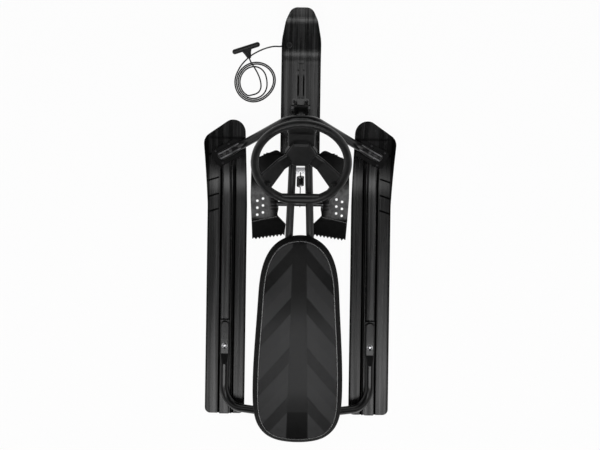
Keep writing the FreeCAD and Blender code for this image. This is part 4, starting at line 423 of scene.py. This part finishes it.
def brake_plastic(level):
    """Glass-filled plastic of the pedals, paler and rougher where boots rub the tread."""
    finish = Finish("brake_plastic", Specular_IOR_Level=0.012, Coat_Roughness=0.3)
    x, y = finish.place()[:2]
    grain = finish.noise((1500, 1500, 1500), 3.0)
    boots = finish.noise((90, 60, 90), 5.0, 0.65)
    tread = y.ramp(0.0, 0.012) * (1 - y.ramp(0.070, 0.105)) * abs(x).ramp(0.062, 0.085)
    rub = tread * boots.ramp(0.30, 0.62)
    colour = finish.blend(rub * 0.75 + boots * 0.12, grey(level), grey(0.085))
    finish.bump(grain + rub * 0.3, 0.0002, 0.4)
    gloss = tread * 0.9 + y.ramp(0.105, 0.125) * 0.12
    return finish.set(Base_Color=colour, Roughness=0.34 + grain * 0.06 + rub * 0.22, Coat_Weight=gloss)


def seat_shell_plastic(level):
    """Spark-grained moulding of the seat shell."""
    finish = Finish("seat_shell_plastic", Specular_IOR_Level=0.05)
    grain = finish.cells((1300, 1300, 1300))
    scuff = finish.noise((60, 30, 200), 6.0, 0.7).ramp(0.58, 0.75)
    colour = finish.blend(scuff, grey(level), grey(level * 3))
    finish.bump(grain, 0.0002, 0.4)
    return finish.set(Base_Color=colour, Roughness=0.55 + scuff * 0.15 + grain * 0.1)


def seat_pad_vinyl(dark, pale):
    """Grained vinyl whose grey follows the pressed chevrons and the painted light along the seat."""
    finish = Finish("seat_pad_vinyl", Specular_IOR_Level=0.12)
    tone = finish.node("ShaderNodeAttribute", {"attribute_name": "tone"}, None, "Fac")
    leather = finish.cells((620, 620, 620))
    weave = finish.noise((1800, 1800, 1800), 2.0)
    dust = finish.noise((26, 26, 26), 5.0, 0.6)
    colour = finish.blend((tone + dust * 0.24 - 0.12).ramp(-0.25, 1.25), grey(dark), grey(pale))
    finish.bump(leather * 0.8 + weave * 0.3, 0.00022, 0.5)
    return finish.set(Base_Color=colour, Roughness=0.50 + dust * 0.12 + leather * 0.08)


def gloss_black(name, level):
    """Glossy black of the welt and the rolled edges, creased and rubbed in places."""
    finish = Finish(name, Specular_IOR_Level=0.7)
    crease = finish.noise((900, 900, 900), 3.0)
    worn = finish.noise((50, 50, 50), 4.0, 0.6).ramp(0.45, 0.70)
    colour = finish.blend(worn, grey(level * 0.7), grey(level * 1.8))
    finish.bump(crease, 0.0001, 0.3)
    return finish.set(Base_Color=colour, Roughness=0.20 + worn * 0.12 + crease * 0.06)


def plated_steel(name, level, roughness, stretch):
    """Plated steel with a fine drawn grain and dull spots."""
    finish = Finish(name, Metallic=1.0)
    drawn = finish.noise(stretch, 3.0)
    spots = finish.noise((180, 180, 180), 5.0, 0.7).ramp(0.52, 0.75)
    colour = finish.blend(spots, (level, level, level * 1.03, 1), (level * 0.5, level * 0.5, level * 0.48, 1))
    finish.bump(drawn, 0.00005, 0.3)
    return finish.set(Base_Color=colour, Roughness=roughness + spots * 0.22 + drawn * 0.08)


def soft_black(name, level, roughness, grain_scale, gloss=0.4):
    """Plain black nylon or rubber with a fine grain."""
    finish = Finish(name, Specular_IOR_Level=gloss)
    grain = finish.noise((grain_scale, grain_scale, grain_scale), 3.0)
    cloud = finish.noise((70, 70, 70), 4.0)
    colour = finish.blend(cloud, grey(level * 0.7), grey(level * 1.8))
    finish.bump(grain, 0.00015, 0.4)
    return finish.set(Base_Color=colour, Roughness=roughness + grain * 0.12)


def cord_fibre(level, length, plait):
    """Braided cord: a plait that runs along and round it, with stray fibres."""
    finish = Finish("cord_fibre", Specular_IOR_Level=0.25, Sheen_Weight=0.2)
    where = finish.node("ShaderNodeTexCoord", output="UV")
    parts = finish.tree.nodes.new("ShaderNodeSeparateXYZ")
    finish.feed(parts.inputs[0], where)
    along = Value(finish, parts.outputs[0]) * (math.pi * length / plait)
    around = Value(finish, parts.outputs[1]) * (math.pi * 4)
    over = abs((along + around).sine())
    under = abs((along - around).sine())
    strand = over.highest(under)
    fuzz = finish.noise((3000, 3000, 3000), 2.0)
    colour = finish.blend((strand + fuzz * 0.6).ramp(0.5, 1.5), grey(level * 0.4), grey(level * 2.0))
    finish.bump(strand + fuzz * 0.4, 0.0005, 0.6)
    return finish.set(Base_Color=colour, Roughness=0.62 + fuzz * 0.2)


class SledColours(PropertyGroup):
    """How dark the sled's blacks are."""

    paint: FloatProperty(
        name="Frame paint", description="Level of the frame's black", default=0.005, min=0, max=1,
    )
    ski: FloatProperty(
        name="Ski plastic", description="Level of the skis' black", default=0.009, min=0, max=1,
    )
    wheel: FloatProperty(
        name="Wheel plastic", description="Level of the wheel's black", default=0.008, min=0, max=1,
    )
    cover: FloatProperty(
        name="Hub cover", description="Level of the hub cover's black", default=0.010, min=0, max=1,
    )
    brake: FloatProperty(
        name="Brake plastic", description="Level of the pedals' black", default=0.0022, min=0, max=1,
    )
    shell: FloatProperty(
        name="Seat shell", description="Level of the seat shell's black", default=0.003, min=0, max=1,
    )
    pad_dark: FloatProperty(
        name="Pad dark", description="Level of the darkest chevron", default=0.003, min=0, max=1,
    )
    pad_pale: FloatProperty(
        name="Pad pale", description="Level of the palest chevron", default=0.048, min=0, max=1,
    )
    zinc: FloatProperty(
        name="Zinc", description="Level of the plated fasteners", default=0.62, min=0, max=1,
    )
    cord: FloatProperty(
        name="Cord", description="Level of the cord's black", default=0.012, min=0, max=1,
    )


class SledSeat(PropertyGroup):
    """Sizes of the seat pad's pressed pattern."""

    spacing: FloatProperty(
        name="Spacing", description="From chevron to chevron", default=0.124, unit="LENGTH",
    )
    slope: FloatProperty(
        name="Slope", description="How far an arm falls back for its reach", default=1.15,
    )
    arm: FloatProperty(
        name="Arm", description="Width of a chevron along the seat", default=0.040, unit="LENGTH",
    )
    depth: FloatProperty(
        name="Depth", description="How deep the pattern is pressed", default=0.0011, unit="LENGTH",
    )
    swell: FloatProperty(
        name="Swell", description="Most that the padding may rise", default=0.0035, unit="LENGTH",
    )
    voxel: FloatProperty(
        name="Voxel", description="Mesh size before the padding", default=0.0042, unit="LENGTH",
    )
    welt: FloatProperty(
        name="Welt", description="Radius of the welt round the pad", default=0.0022, unit="LENGTH",
    )


class SledCord(PropertyGroup):
    """Sizes of the pull cord."""

    radius: FloatProperty(
        name="Radius", description="Radius of the cord", default=0.002, unit="LENGTH",
    )
    length: FloatProperty(
        name="Length", description="Length from ski to handle", default=1.26, unit="LENGTH",
    )
    coil_radius: FloatProperty(
        name="Coil", description="Radius of the first turn", default=0.0595, unit="LENGTH",
    )
    coil_step: FloatProperty(
        name="Step", description="How much each turn draws in", default=0.0046, unit="LENGTH",
    )
    coil_sweep: FloatProperty(
        name="Sweep", description="Turning of the coil in degrees", default=1170.0,
    )
    per_turn: IntProperty(
        name="Points", description="Control points for each turn", default=24, min=12,
    )


class SledStage(PropertyGroup):
    """Camera and light."""

    height: FloatProperty(
        name="Height", description="Camera above the floor", default=2.8, unit="LENGTH",
    )
    view: FloatProperty(
        name="View", description="Floor width that the picture takes in", default=1.65, unit="LENGTH",
    )
    roll: FloatProperty(
        name="Roll", description="Turn of the camera", default=0.0142, subtype="ANGLE",
    )
    centre: FloatVectorProperty(
        name="Centre", description="Point under the camera", size=2, default=(0.0032, -0.012),
    )
    offset: FloatProperty(
        name="Offset", description="Lens beside the picture's middle", default=-0.04, unit="LENGTH",
    )
    key: FloatProperty(name="Key", description="Power of the rear soft box", default=62.0)
    front: FloatProperty(name="Front", description="Power of the front soft box", default=30.0)
    top: FloatProperty(name="Top", description="Power of the soft box overhead", default=6.0)
    fill: FloatProperty(name="Fill", description="Power of the side soft boxes", default=9.0)
    sky: FloatProperty(name="Sky", description="Strength of the room's light", default=0.20)


class SLED_OT_frame(Operator):
    """Paint the tubes, finish the metal parts and roll the edges of the arch's feet"""

    bl_idname = "sled.frame"
    bl_label = "Frame"

    def execute(self, context):
        colours = context.scene.sled_colours
        put_on(frame_paint(colours.paint), *PAINTED)
        put_on(plated_steel("zinc_steel", colours.zinc, 0.24, (900, 900, 900)), *ZINCED)
        put_on(plated_steel("bar_steel", 0.05, 0.30, (40, 900, 900)), *BLACKED)
        put_on(soft_black("bush_plastic", 0.012, 0.42, 1400), *NYLON)
        put_on(soft_black("buffer_rubber", 0.012, 0.66, 900), *RUBBER)
        curve = round_wire("arch_foot_edges", FOOT_EDGE_WIRE, 3, 6)
        for side in (1, -1):
            for beside in (FOOT_EDGE, -FOOT_EDGE):
                smooth_spline(curve, foot_edge_points(side, beside))
        rolled = plated_steel("rolled_paint", 0.15, 0.30, (300, 300, 300))
        place_mesh("arch_foot_edges", curve_mesh(curve), rolled, "frame", WIRE_SHARP)
        return {"FINISHED"}


def foot_edge_points(side, beside):
    """Line of a rolled edge, from the round tube down to the crushed foot's end."""
    along = (ARCH_END - ARCH_FOOT).normalized()
    across = Vector((-along.y, along.x))
    points = []
    for run, height in FOOT_EDGE_LINE:
        spot = ARCH_FOOT + along * run + across * beside
        points.append(Vector((side * spot.x, spot.y, height)))
    return points


class SLED_OT_skis(Operator):
    """Finish the three skis and add their moulded marks"""

    bl_idname = "sled.skis"
    bl_label = "Skis"

    def execute(self, context):
        level = context.scene.sled_colours.ski
        side_plastic = ski_plastic("ski_plastic", SKI_MIDDLE, level, SIDE_GRID_Y, side_ski_shade)
        put_on(side_plastic, "right_ski", "left_ski")
        # Near-black, almost unreflecting marks and studs, darker than the ski's plastic: painted shade that
        # makes the moulded marks read as dark lines.
        mark_shade = soft_black("mark_plastic", 0.0010, 0.70, 1200, 0.03)
        front_plastic = ski_plastic("front_ski_plastic", 0.0, level, FRONT_GRID_Y, front_ski_shade)
        put_on(front_plastic, "front_ski")
        for side, name in ((1, "right_ski_marks"), (-1, "left_ski_marks")):
            make_piece(name, ski_marks(side), mark_shade, "frame")
        return {"FINISHED"}


def ski_top(forward):
    """Height and pitch of a side ski's upper face, by the run along the floor."""
    pitch = math.asin(min(max((forward - SKI_BEND_Y) / SKI_TOP_BEND, 0.0), math.sin(SKI_NOSE)))
    past = forward - SKI_BEND_Y - SKI_TOP_BEND * math.sin(pitch)
    height = SKI_BEND - SKI_TOP_BEND * math.cos(pitch)
    if pitch >= SKI_NOSE - 1e-6:
        height += past * math.tan(SKI_NOSE)
    return height, pitch


def ski_marks(side):
    """Slanting marks on the outer flange and a row of studs beside the rib."""
    shape = bmesh.new()
    size = Matrix.Diagonal((*MARK_SIZE, 1))
    for forward in MARK_PLACES:
        height, pitch = ski_top(forward)
        turn = Matrix.Rotation(pitch, 4, "X") @ Matrix.Rotation(-side * MARK_TURN, 4, "Z")
        place = Matrix.Translation((side * (SKI_MIDDLE + MARK_OUT), forward, height))
        bar = bmesh.ops.create_cube(shape, size=1.0, matrix=place @ turn @ size)
        edges = list({edge for vert in bar["verts"] for edge in vert.link_edges})
        bmesh.ops.bevel(
            shape, geom=edges, offset=MARK_ROUND, segments=2, affect="EDGES", profile=0.5, material=-1,
        )
    size = Matrix.Diagonal((*STUD_SIZE, 1))
    for index in range(STUD_COUNT):
        forward = STUD_START + index * STUD_STEP
        height = ski_top(forward)[0]
        place = Matrix.Translation((side * (SKI_MIDDLE - STUD_IN), forward, height + STUD_LIFT))
        bmesh.ops.create_uvsphere(shape, u_segments=10, v_segments=6, radius=1.0, matrix=place @ size)
    return shape


class SLED_OT_wheel(Operator):
    """Finish the steering wheel and its cover, and round off the lower window"""

    bl_idname = "sled.wheel"
    bl_label = "Wheel"

    def execute(self, context):
        colours = context.scene.sled_colours
        moulding = wheel_plastic("wheel_plastic", colours.wheel, 0.30, 900)
        put_on(moulding, "steering_wheel")
        curve = round_wire("wheel_lower_bar", WHEEL_BAR_RADIUS, 4, 10)
        smooth_spline(curve, [on_wheel(side * x, up) for side, x, up in wheel_bar_path()])
        place_mesh("wheel_lower_bar", curve_mesh(curve), moulding, "steering", WIRE_SHARP)
        put_on(wheel_plastic("cover_plastic", colours.cover, 0.46, 1500), "hub_cover")
        return {"FINISHED"}


def wheel_bar_path():
    """Side, reach and height of the bar that rounds the lower window, from end to end."""
    left = [(-1, x, up) for x, up in WHEEL_BAR]
    right = [(1, x, up) for x, up in reversed(WHEEL_BAR)]
    return left + right


def on_wheel(x, up):
    """A point in the wheel's plane."""
    return WHEEL_CENTRE + Vector((x, up * math.cos(WHEEL_TILT), up * math.sin(WHEEL_TILT)))


class SLED_OT_brake(Operator):
    """Finish the pedals, add their ridges and wind the return spring"""

    bl_idname = "sled.brake"
    bl_label = "Brake"

    def execute(self, context):
        put_on(brake_plastic(context.scene.sled_colours.brake), "right_pedal", "left_pedal")
        curve = round_wire("pedal_ridges", RIDGE_WIRE, 3, 6)
        for side in (1, -1):
            smooth_spline(curve, [Vector((side * x, y, z)) for x, y, z in PEDAL_RIDGE])
        ridged = gloss_black("ridge_plastic", 0.010)
        place_mesh("pedal_ridges", curve_mesh(curve), ridged, "brake", WIRE_SHARP)
        steel = soft_black("spring_steel", 0.003, 0.36, 1600, 0.15)
        curve = round_wire("return_spring_wire", SPRING_WIRE, 2, 3)
        smooth_spline(curve, spring_points())
        spring = place_mesh("return_spring_coils", curve_mesh(curve), steel, None, WIRE_SHARP)
        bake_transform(spring)
        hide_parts("return_spring")
        return {"FINISHED"}


def spring_points():
    """The spring's wire: front hook, close turns, and the hook round the tie bar."""
    axis = (SPRING_REAR - SPRING_FRONT).normalized()
    side = Vector((1, 0, 0))
    up = side.cross(axis)
    if up.z < 0:
        up = -up
    eye = SPRING_FRONT + axis * SPRING_HOOK
    points = []
    for degrees in range(-130, 91, 20):
        angle = math.radians(degrees)
        points.append(eye - axis * (SPRING_HOOK * math.cos(angle)) + up * (SPRING_HOOK * math.sin(angle)))
    for index in range(SPRING_TURNS * POINTS_PER_TURN + 1):
        angle = math.tau * index / POINTS_PER_TURN
        centre = SPRING_FRONT + axis * (SPRING_BEGIN + SPRING_PITCH * index / POINTS_PER_TURN)
        points.append(centre + up * (SPRING_TURN * math.cos(angle)) + side * (SPRING_TURN * math.sin(angle)))
    shank = SPRING_BEGIN + SPRING_TURNS * SPRING_PITCH
    for run in SPRING_SHANK:
        points.append(SPRING_FRONT + axis * (shank + run) + up * SPRING_WRAP)
    for degrees in range(90, -151, -20):
        angle = math.radians(degrees)
        around = axis * (SPRING_WRAP * math.cos(angle)) + up * (SPRING_WRAP * math.sin(angle))
        points.append(SPRING_REAR + around)
    return points


def round_wire(name, radius, sides, steps):
    """A curve with a round section and closed ends."""
    curve = bpy.data.curves.new(name, "CURVE")
    curve.dimensions = "3D"
    curve.bevel_depth = radius
    curve.bevel_resolution = sides
    curve.resolution_u = steps
    curve.use_fill_caps = True
    return curve


def curve_mesh(curve):
    """The mesh of a curve."""
    wire = bpy.data.objects.new(curve.name, curve)
    mesh = bpy.data.meshes.new_from_object(wire)
    bpy.data.objects.remove(wire)
    return mesh


def smooth_spline(curve, points):
    """One open NURBS line with these control points."""
    spline = curve.splines.new("NURBS")
    spline.points.add(len(points) - 1)
    for control, point in zip(spline.points, points):
        control.co = (*point, 1.0)
    spline.order_u = 3
    spline.use_endpoint_u = True
    spline.use_smooth = True
    return spline


class SLED_OT_seat(Operator):
    """Finish the seat shell and pad the seat"""

    bl_idname = "sled.seat"
    bl_label = "Seat"

    def execute(self, context):
        colours = context.scene.sled_colours
        seat = context.scene.sled_seat
        put_on(seat_shell_plastic(colours.shell), "seat_shell")
        vinyl = seat_pad_vinyl(colours.pad_dark, colours.pad_pale)
        mesh = NODES["seat_pad"].data.copy()
        shape = bmesh.new()
        shape.from_mesh(mesh)
        bmesh.ops.remove_doubles(shape, verts=shape.verts, dist=1e-5)
        shape.to_mesh(mesh)
        shape.free()
        add_welt(seat, mesh)
        pad = place_mesh("seat_cushion", mesh, vinyl, None)
        remesh_pad(context, pad, seat.voxel)
        swell_pad(context, pad, seat.swell)
        press_pattern(pad, seat)
        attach(pad, "frame")
        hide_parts("seat_pad")
        return {"FINISHED"}


def add_welt(seat, pad_mesh):
    """Run a round welt along the joint of pad and shell."""
    up = Matrix.Rotation(SEAT_SLOPE, 3, "X") @ Vector((0, 0, 1))
    shape = bmesh.new()
    shape.from_mesh(pad_mesh)
    everything = shape.verts[:] + shape.edges[:] + shape.faces[:]
    bmesh.ops.bisect_plane(
        shape, geom=everything, plane_co=SEAT_ORIGIN + up * SEAT_RIM, plane_no=up,
        clear_inner=True, clear_outer=True,
    )
    bmesh.ops.remove_doubles(shape, verts=shape.verts, dist=0.004)
    first = min(shape.verts, key=lambda vert: (vert.co.y, vert.co.x))
    loop = [first]
    while True:
        onward = [edge.other_vert(loop[-1]) for edge in loop[-1].link_edges]
        onward = [vert for vert in onward if vert not in loop]
        if not onward:
            break
        loop.append(onward[0])
    curve = round_wire("seat_welt", seat.welt, 3, 4)
    spline = smooth_spline(curve, [vert.co for vert in loop])
    spline.use_endpoint_u = False
    spline.use_cyclic_u = True
    shape.free()
    cover = gloss_black("welt_vinyl", 0.014)
    place_mesh("seat_welt", curve_mesh(curve), cover, "frame", WIRE_SHARP)


def only_active(context, piece):
    """Select one object, for the operators that need it."""
    for other in context.view_layer.objects:
        other.select_set(False)
    piece.select_set(True)
    context.view_layer.objects.active = piece


def remesh_pad(context, pad, voxel):
    """Even the pad's mesh out."""
    only_active(context, pad)
    pad.data.remesh_voxel_size = voxel
    pad.data.remesh_voxel_adaptivity = 0.0
    bpy.ops.object.voxel_remesh()


def swell_pad(context, pad, swell):
    """Let the padding press the cover up, held at its sides and underside."""
    rest = [vert.co.copy() for vert in pad.data.vertices]
    held = pad.vertex_groups.new(name="held")
    for vert in pad.data.vertices:
        if vert.normal.z < 0.6:
            held.add([vert.index], 1.0, "REPLACE")
    cloth = pad.modifiers.new("cover", "CLOTH")
    cloth.settings.use_pressure = True
    cloth.settings.uniform_pressure_force = PAD_PRESSURE
    cloth.settings.effector_weights.gravity = 0.0
    cloth.settings.vertex_group_mass = "held"
    cloth.point_cache.frame_start = 1
    cloth.point_cache.frame_end = PAD_FRAMES
    for number in range(1, PAD_FRAMES + 1):
        context.scene.frame_set(number)
    shaped = pad.evaluated_get(context.evaluated_depsgraph_get()).to_mesh()
    moved = [vert.co.copy() for vert in shaped.vertices]
    pad.modifiers.remove(cloth)
    context.scene.frame_set(1)
    for vert, start, end in zip(pad.data.vertices, rest, moved):
        step = end - start
        if step.length > swell:
            step *= swell / step.length
        vert.co = start + step
    pad.vertex_groups.clear()
    pad.data.update()


def chevron_tone(x, y, seat):
    """Grey and depth of the pressed pattern at a point: arms that fall back from a middle band, under painted
    light along the seat.
    """
    reach = abs(x)
    back = SEAT_FRONT_Y - y
    band = BAND_HALF + BAND_SPREAD * back
    spine = smooth_step((band - reach) / 0.0025 + 0.5)
    phase = ((back - seat.slope * reach + ARM_LEAD) / seat.spacing) % 1.0
    arm = smooth_step((seat.arm / 2 - abs(phase - 0.5) * seat.spacing) / 0.004 + 0.5)
    fade = smooth_step((back - 0.02) / 0.05)
    middle = smooth_step((back - 0.12) / 0.14)
    rear = smooth_step((back - 0.38) / 0.07)
    heel = smooth_step((back - HEEL_BACK) / 0.006)
    depth = 1.15 - 0.77 * middle + 0.15 * rear
    # Painted light: the field is paler through the middle of the seat and darker at the front and over the
    # rounded rear, with a painted gradient of shade from one chevron to the next.
    shade = 0.52 + 0.48 * middle - 0.20 * rear - 0.08 * phase
    tone = shade * (1 - depth * arm)
    # The spine's grey follows the same painted light and darkens into the heel block, which is part of the
    # pattern.
    tone = tone * (1 - spine) + (0.79 * middle - 0.06 - 0.50 * rear - 0.40 * heel) * spine
    press = arm * (1 - spine) * fade + 0.5 * spine
    return tone, press


def smooth_step(share):
    """0 to 1, smooth at both ends."""
    share = min(max(share, 0.0), 1.0)
    return share * share * (3 - 2 * share)


def press_pattern(pad, seat):
    """Refine the pad, press the chevrons into its top and note their grey, painted light included."""
    shape = bmesh.new()
    shape.from_mesh(pad.data)
    top = [edge for edge in shape.edges if any(face.normal.z > 0.5 for face in edge.link_faces)]
    bmesh.ops.subdivide_edges(shape, edges=top, cuts=1, use_grid_fill=True)
    axes = {"use_axis_x": True, "use_axis_y": True, "use_axis_z": True}
    for _ in range(2):
        bmesh.ops.smooth_vert(shape, verts=shape.verts, factor=0.4, **axes)
    shape.normal_update()
    tones = shape.verts.layers.float.new("tone")
    for vert in shape.verts:
        tone, press = chevron_tone(vert.co.x, vert.co.y, seat)
        vert[tones] = tone
        if vert.normal.z > 0.3:
            vert.co.z -= press * seat.depth * smooth_step((vert.normal.z - 0.3) / 0.5)
    shape.to_mesh(pad.data)
    shape.free()
    pad.data.polygons.foreach_set("use_smooth", [True] * len(pad.data.polygons))
    pad.data.update()


class SLED_OT_cord(Operator):
    """Lay the pull cord and finish its handle"""

    bl_idname = "sled.cord"
    bl_label = "Cord"

    def execute(self, context):
        sizes = context.scene.sled_cord
        level = context.scene.sled_colours.cord
        fibre = cord_fibre(level, sizes.length, CORD_PLAIT)
        curve = round_wire("pull_cord", sizes.radius, 3, 5)
        curve.materials.append(fibre)
        smooth_spline(curve, cord_points(sizes))
        cord = bpy.data.objects.new("pull_cord", curve)
        context.scene.collection.objects.link(cord)
        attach(cord, "front_ski")
        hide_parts("pull_cord_lead", "pull_cord_coil", "pull_cord_tail")
        put_on(fibre, "cord_knot")
        put_on(wheel_plastic("handle_plastic", 0.012, 0.34, 1100), "pull_handle")
        return {"FINISHED"}


def cord_points(sizes):
    """Route of the cord: from under the front ski, round the coil, and up to the handle."""
    points = [
        CORD_EXIT,
        Vector((-0.033, 0.486632, 0.008256)),
        Vector((-0.042, 0.484681, 0.0032)),
        Vector((-0.056, 0.4775, 0.0026)),
        Vector((-0.073, 0.479, CORD_REST)),
        Vector((-0.094, 0.4745, CORD_REST)),
        Vector((-0.116, 0.4655, CORD_REST)),
        Vector((-0.1375, 0.453, CORD_REST)),
        Vector((-0.155, 0.437, CORD_REST)),
        Vector((-0.166573, 0.422475, CORD_REST)),
    ]
    steps = int(sizes.coil_sweep * sizes.per_turn / 360)
    for index in range(steps + 1):
        degrees = COIL_START + sizes.coil_sweep * index / steps
        points.append(coil_point(degrees, sizes))
    points += [
        Vector((-0.135683, 0.343664, CORD_REST)),
        Vector((-0.1235, 0.3465, CORD_REST)),
        Vector((-0.114, 0.353, CORD_REST)),
        Vector((-0.109, 0.364, CORD_REST)),
        Vector((-0.110, 0.380, CORD_REST)),
        Vector((-0.116, 0.398, 0.0042)),
        Vector((-0.125, 0.414, 0.0076)),
        Vector((-0.134, 0.427, 0.0096)),
        Vector((-0.139699, 0.436433, 0.011)),
        Vector((-0.141931, 0.443067, 0.011)),
    ]
    return points


def coil_point(degrees, sizes):
    """A point of the loose coil, which draws in turn by turn."""
    angle = math.radians(degrees)
    turns = (degrees - COIL_START) / 360
    dent = COIL_DENT * ((1 + math.cos(angle - COIL_DENT_AT)) / 2) ** 4
    late = smooth_step((degrees - 800) / 200)
    pull = COIL_PULL * late * ((1 + math.cos(angle - COIL_PULL_AT)) / 2) ** 4
    radius = sizes.coil_radius - sizes.coil_step * turns - dent - pull
    return Vector((COIL_X + radius * math.cos(angle), COIL_Y + radius * math.sin(angle), CORD_REST))


class SLED_OT_stage(Operator):
    """Set the floor, the room's light and the camera"""

    bl_idname = "sled.stage"
    bl_label = "Stage"

    def execute(self, context):
        stage = context.scene.sled_stage
        scene = context.scene
        scene.view_settings.view_transform = "Standard"
        shape = bmesh.new()
        bmesh.ops.create_grid(shape, x_segments=16, y_segments=16, size=FLOOR_HALF)
        edge = [corner for corner in shape.verts if max(map(abs, corner.co)) > FLOOR_HALF - 1.0]
        bmesh.ops.translate(shape, verts=edge, vec=(0.0, 0.0, FLOOR_RISE))
        mesh = bpy.data.meshes.new("floor")
        shape.to_mesh(mesh)
        shape.free()
        mesh.materials.append(pale_floor())
        floor = bpy.data.objects.new("floor", mesh)
        floor.location.z = -FLOOR_DROP
        scene.collection.objects.link(floor)
        set_room(scene, stage.sky)
        add_lamp(scene, "rear_box", *REAR_BOX, stage.key)
        add_lamp(scene, "front_box", *FRONT_BOX, stage.front)
        add_lamp(scene, "top_box", *TOP_BOX, stage.top)
        for side in (1, -1):
            place = (side * SIDE_BOX_OUT, 0.0, SIDE_BOX_HEIGHT)
            add_lamp(scene, "side_box", place, SIDE_BOX_SIZE, stage.fill, side)
        data = bpy.data.cameras.new("camera")
        data.sensor_width = SENSOR
        data.lens = SENSOR * stage.height / stage.view
        data.clip_end = 100.0
        camera = bpy.data.objects.new("camera", data)
        data.shift_x = -stage.offset / stage.view
        camera.location = (stage.centre[0] + stage.offset, stage.centre[1], stage.height)
        camera.rotation_euler = (0.0, 0.0, stage.roll)
        scene.collection.objects.link(camera)
        scene.camera = camera
        return {"FINISHED"}


def add_lamp(scene, name, place, size, power, side=0):
    """An area lamp that faces down, or from one side to the sled."""
    data = bpy.data.lights.new(name, "AREA")
    data.shape = "RECTANGLE"
    data.size, data.size_y = size
    data.energy = power
    lamp = bpy.data.objects.new(name, data)
    lamp.location = place
    if side:
        lamp.rotation_euler = (-Vector(place)).to_track_quat("-Z", "Z").to_euler()
    scene.collection.objects.link(lamp)


def pale_floor():
    """A white floor that keeps a faint shadow and shows white in reflections."""
    finish = Finish("pale_floor", Roughness=0.9, Specular_IOR_Level=0.0)
    finish.shader.inputs["Base Color"].default_value = (0.86, 0.86, 0.86, 1)
    path = finish.tree.nodes.new("ShaderNodeLightPath")
    seen = Value(finish, path.outputs["Is Camera Ray"])
    seen = seen.highest(Value(finish, path.outputs["Is Glossy Ray"]))
    seen = seen.highest(Value(finish, path.outputs["Is Transmission Ray"]))
    white = finish.node("ShaderNodeEmission", None, {"Color": (1, 1, 1, 1), "Strength": 1.0})
    plain = Value(finish, finish.shader.outputs[0])
    mixed = finish.node("ShaderNodeMixShader", None, {0: seen * 0.95, 1: plain, 2: white})
    output = finish.tree.nodes["Material Output"]
    finish.feed(output.inputs["Surface"], mixed)
    return finish.material


def set_room(scene, strength):
    """White room light, a little darker straight overhead."""
    world = bpy.data.worlds.new("room")
    world.use_nodes = True
    scene.world = world
    tree = world.node_tree
    where = tree.nodes.new("ShaderNodeTexCoord")
    parts = tree.nodes.new("ShaderNodeSeparateXYZ")
    tree.links.new(where.outputs["Generated"], parts.inputs[0])
    ramp = tree.nodes.new("ShaderNodeMapRange")
    ramp.interpolation_type = "SMOOTHSTEP"
    ramp.inputs["From Min"].default_value = 0.05
    ramp.inputs["From Max"].default_value = 0.60
    ramp.inputs["To Min"].default_value = strength * 1.6
    ramp.inputs["To Max"].default_value = strength * 0.5
    tree.links.new(parts.outputs[2], ramp.inputs["Value"])
    tree.links.new(ramp.outputs[0], tree.nodes["Background"].inputs["Strength"])


class SLED_PT_panel(Panel):
    """Lists the steps and the values of the sled"""

    bl_idname = "SLED_PT_panel"
    bl_label = "Steering sled"
    bl_space_type = "VIEW_3D"
    bl_region_type = "UI"
    bl_category = "Sled"

    def draw(self, context):
        for operator in OPERATORS:
            self.layout.operator(operator.bl_idname)
        for group in GROUPS:
            values = getattr(context.scene, group)
            box = self.layout.box()
            for name in values.__annotations__:
                box.prop(values, name)


GROUPS = {
    "sled_colours": SledColours,
    "sled_seat": SledSeat,
    "sled_cord": SledCord,
    "sled_stage": SledStage,
}
OPERATORS = (
    SLED_OT_stage, SLED_OT_cord, SLED_OT_frame, SLED_OT_skis, SLED_OT_wheel, SLED_OT_brake, SLED_OT_seat,
)


def register():
    for group, kind in GROUPS.items():
        bpy.utils.register_class(kind)
        setattr(bpy.types.Scene, group, PointerProperty(type=kind))
    for kind in (*OPERATORS, SLED_PT_panel):
        bpy.utils.register_class(kind)


def unregister():
    for kind in (SLED_PT_panel, *reversed(OPERATORS)):
        bpy.utils.unregister_class(kind)
    for group, kind in reversed(GROUPS.items()):
        delattr(bpy.types.Scene, group)
        bpy.utils.unregister_class(kind)


def main():
    """Register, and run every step."""
    register()
    for operator in OPERATORS:
        family, name = operator.bl_idname.split(".")
        getattr(getattr(bpy.ops, family), name)()


if __name__ == "__main__":
    main()
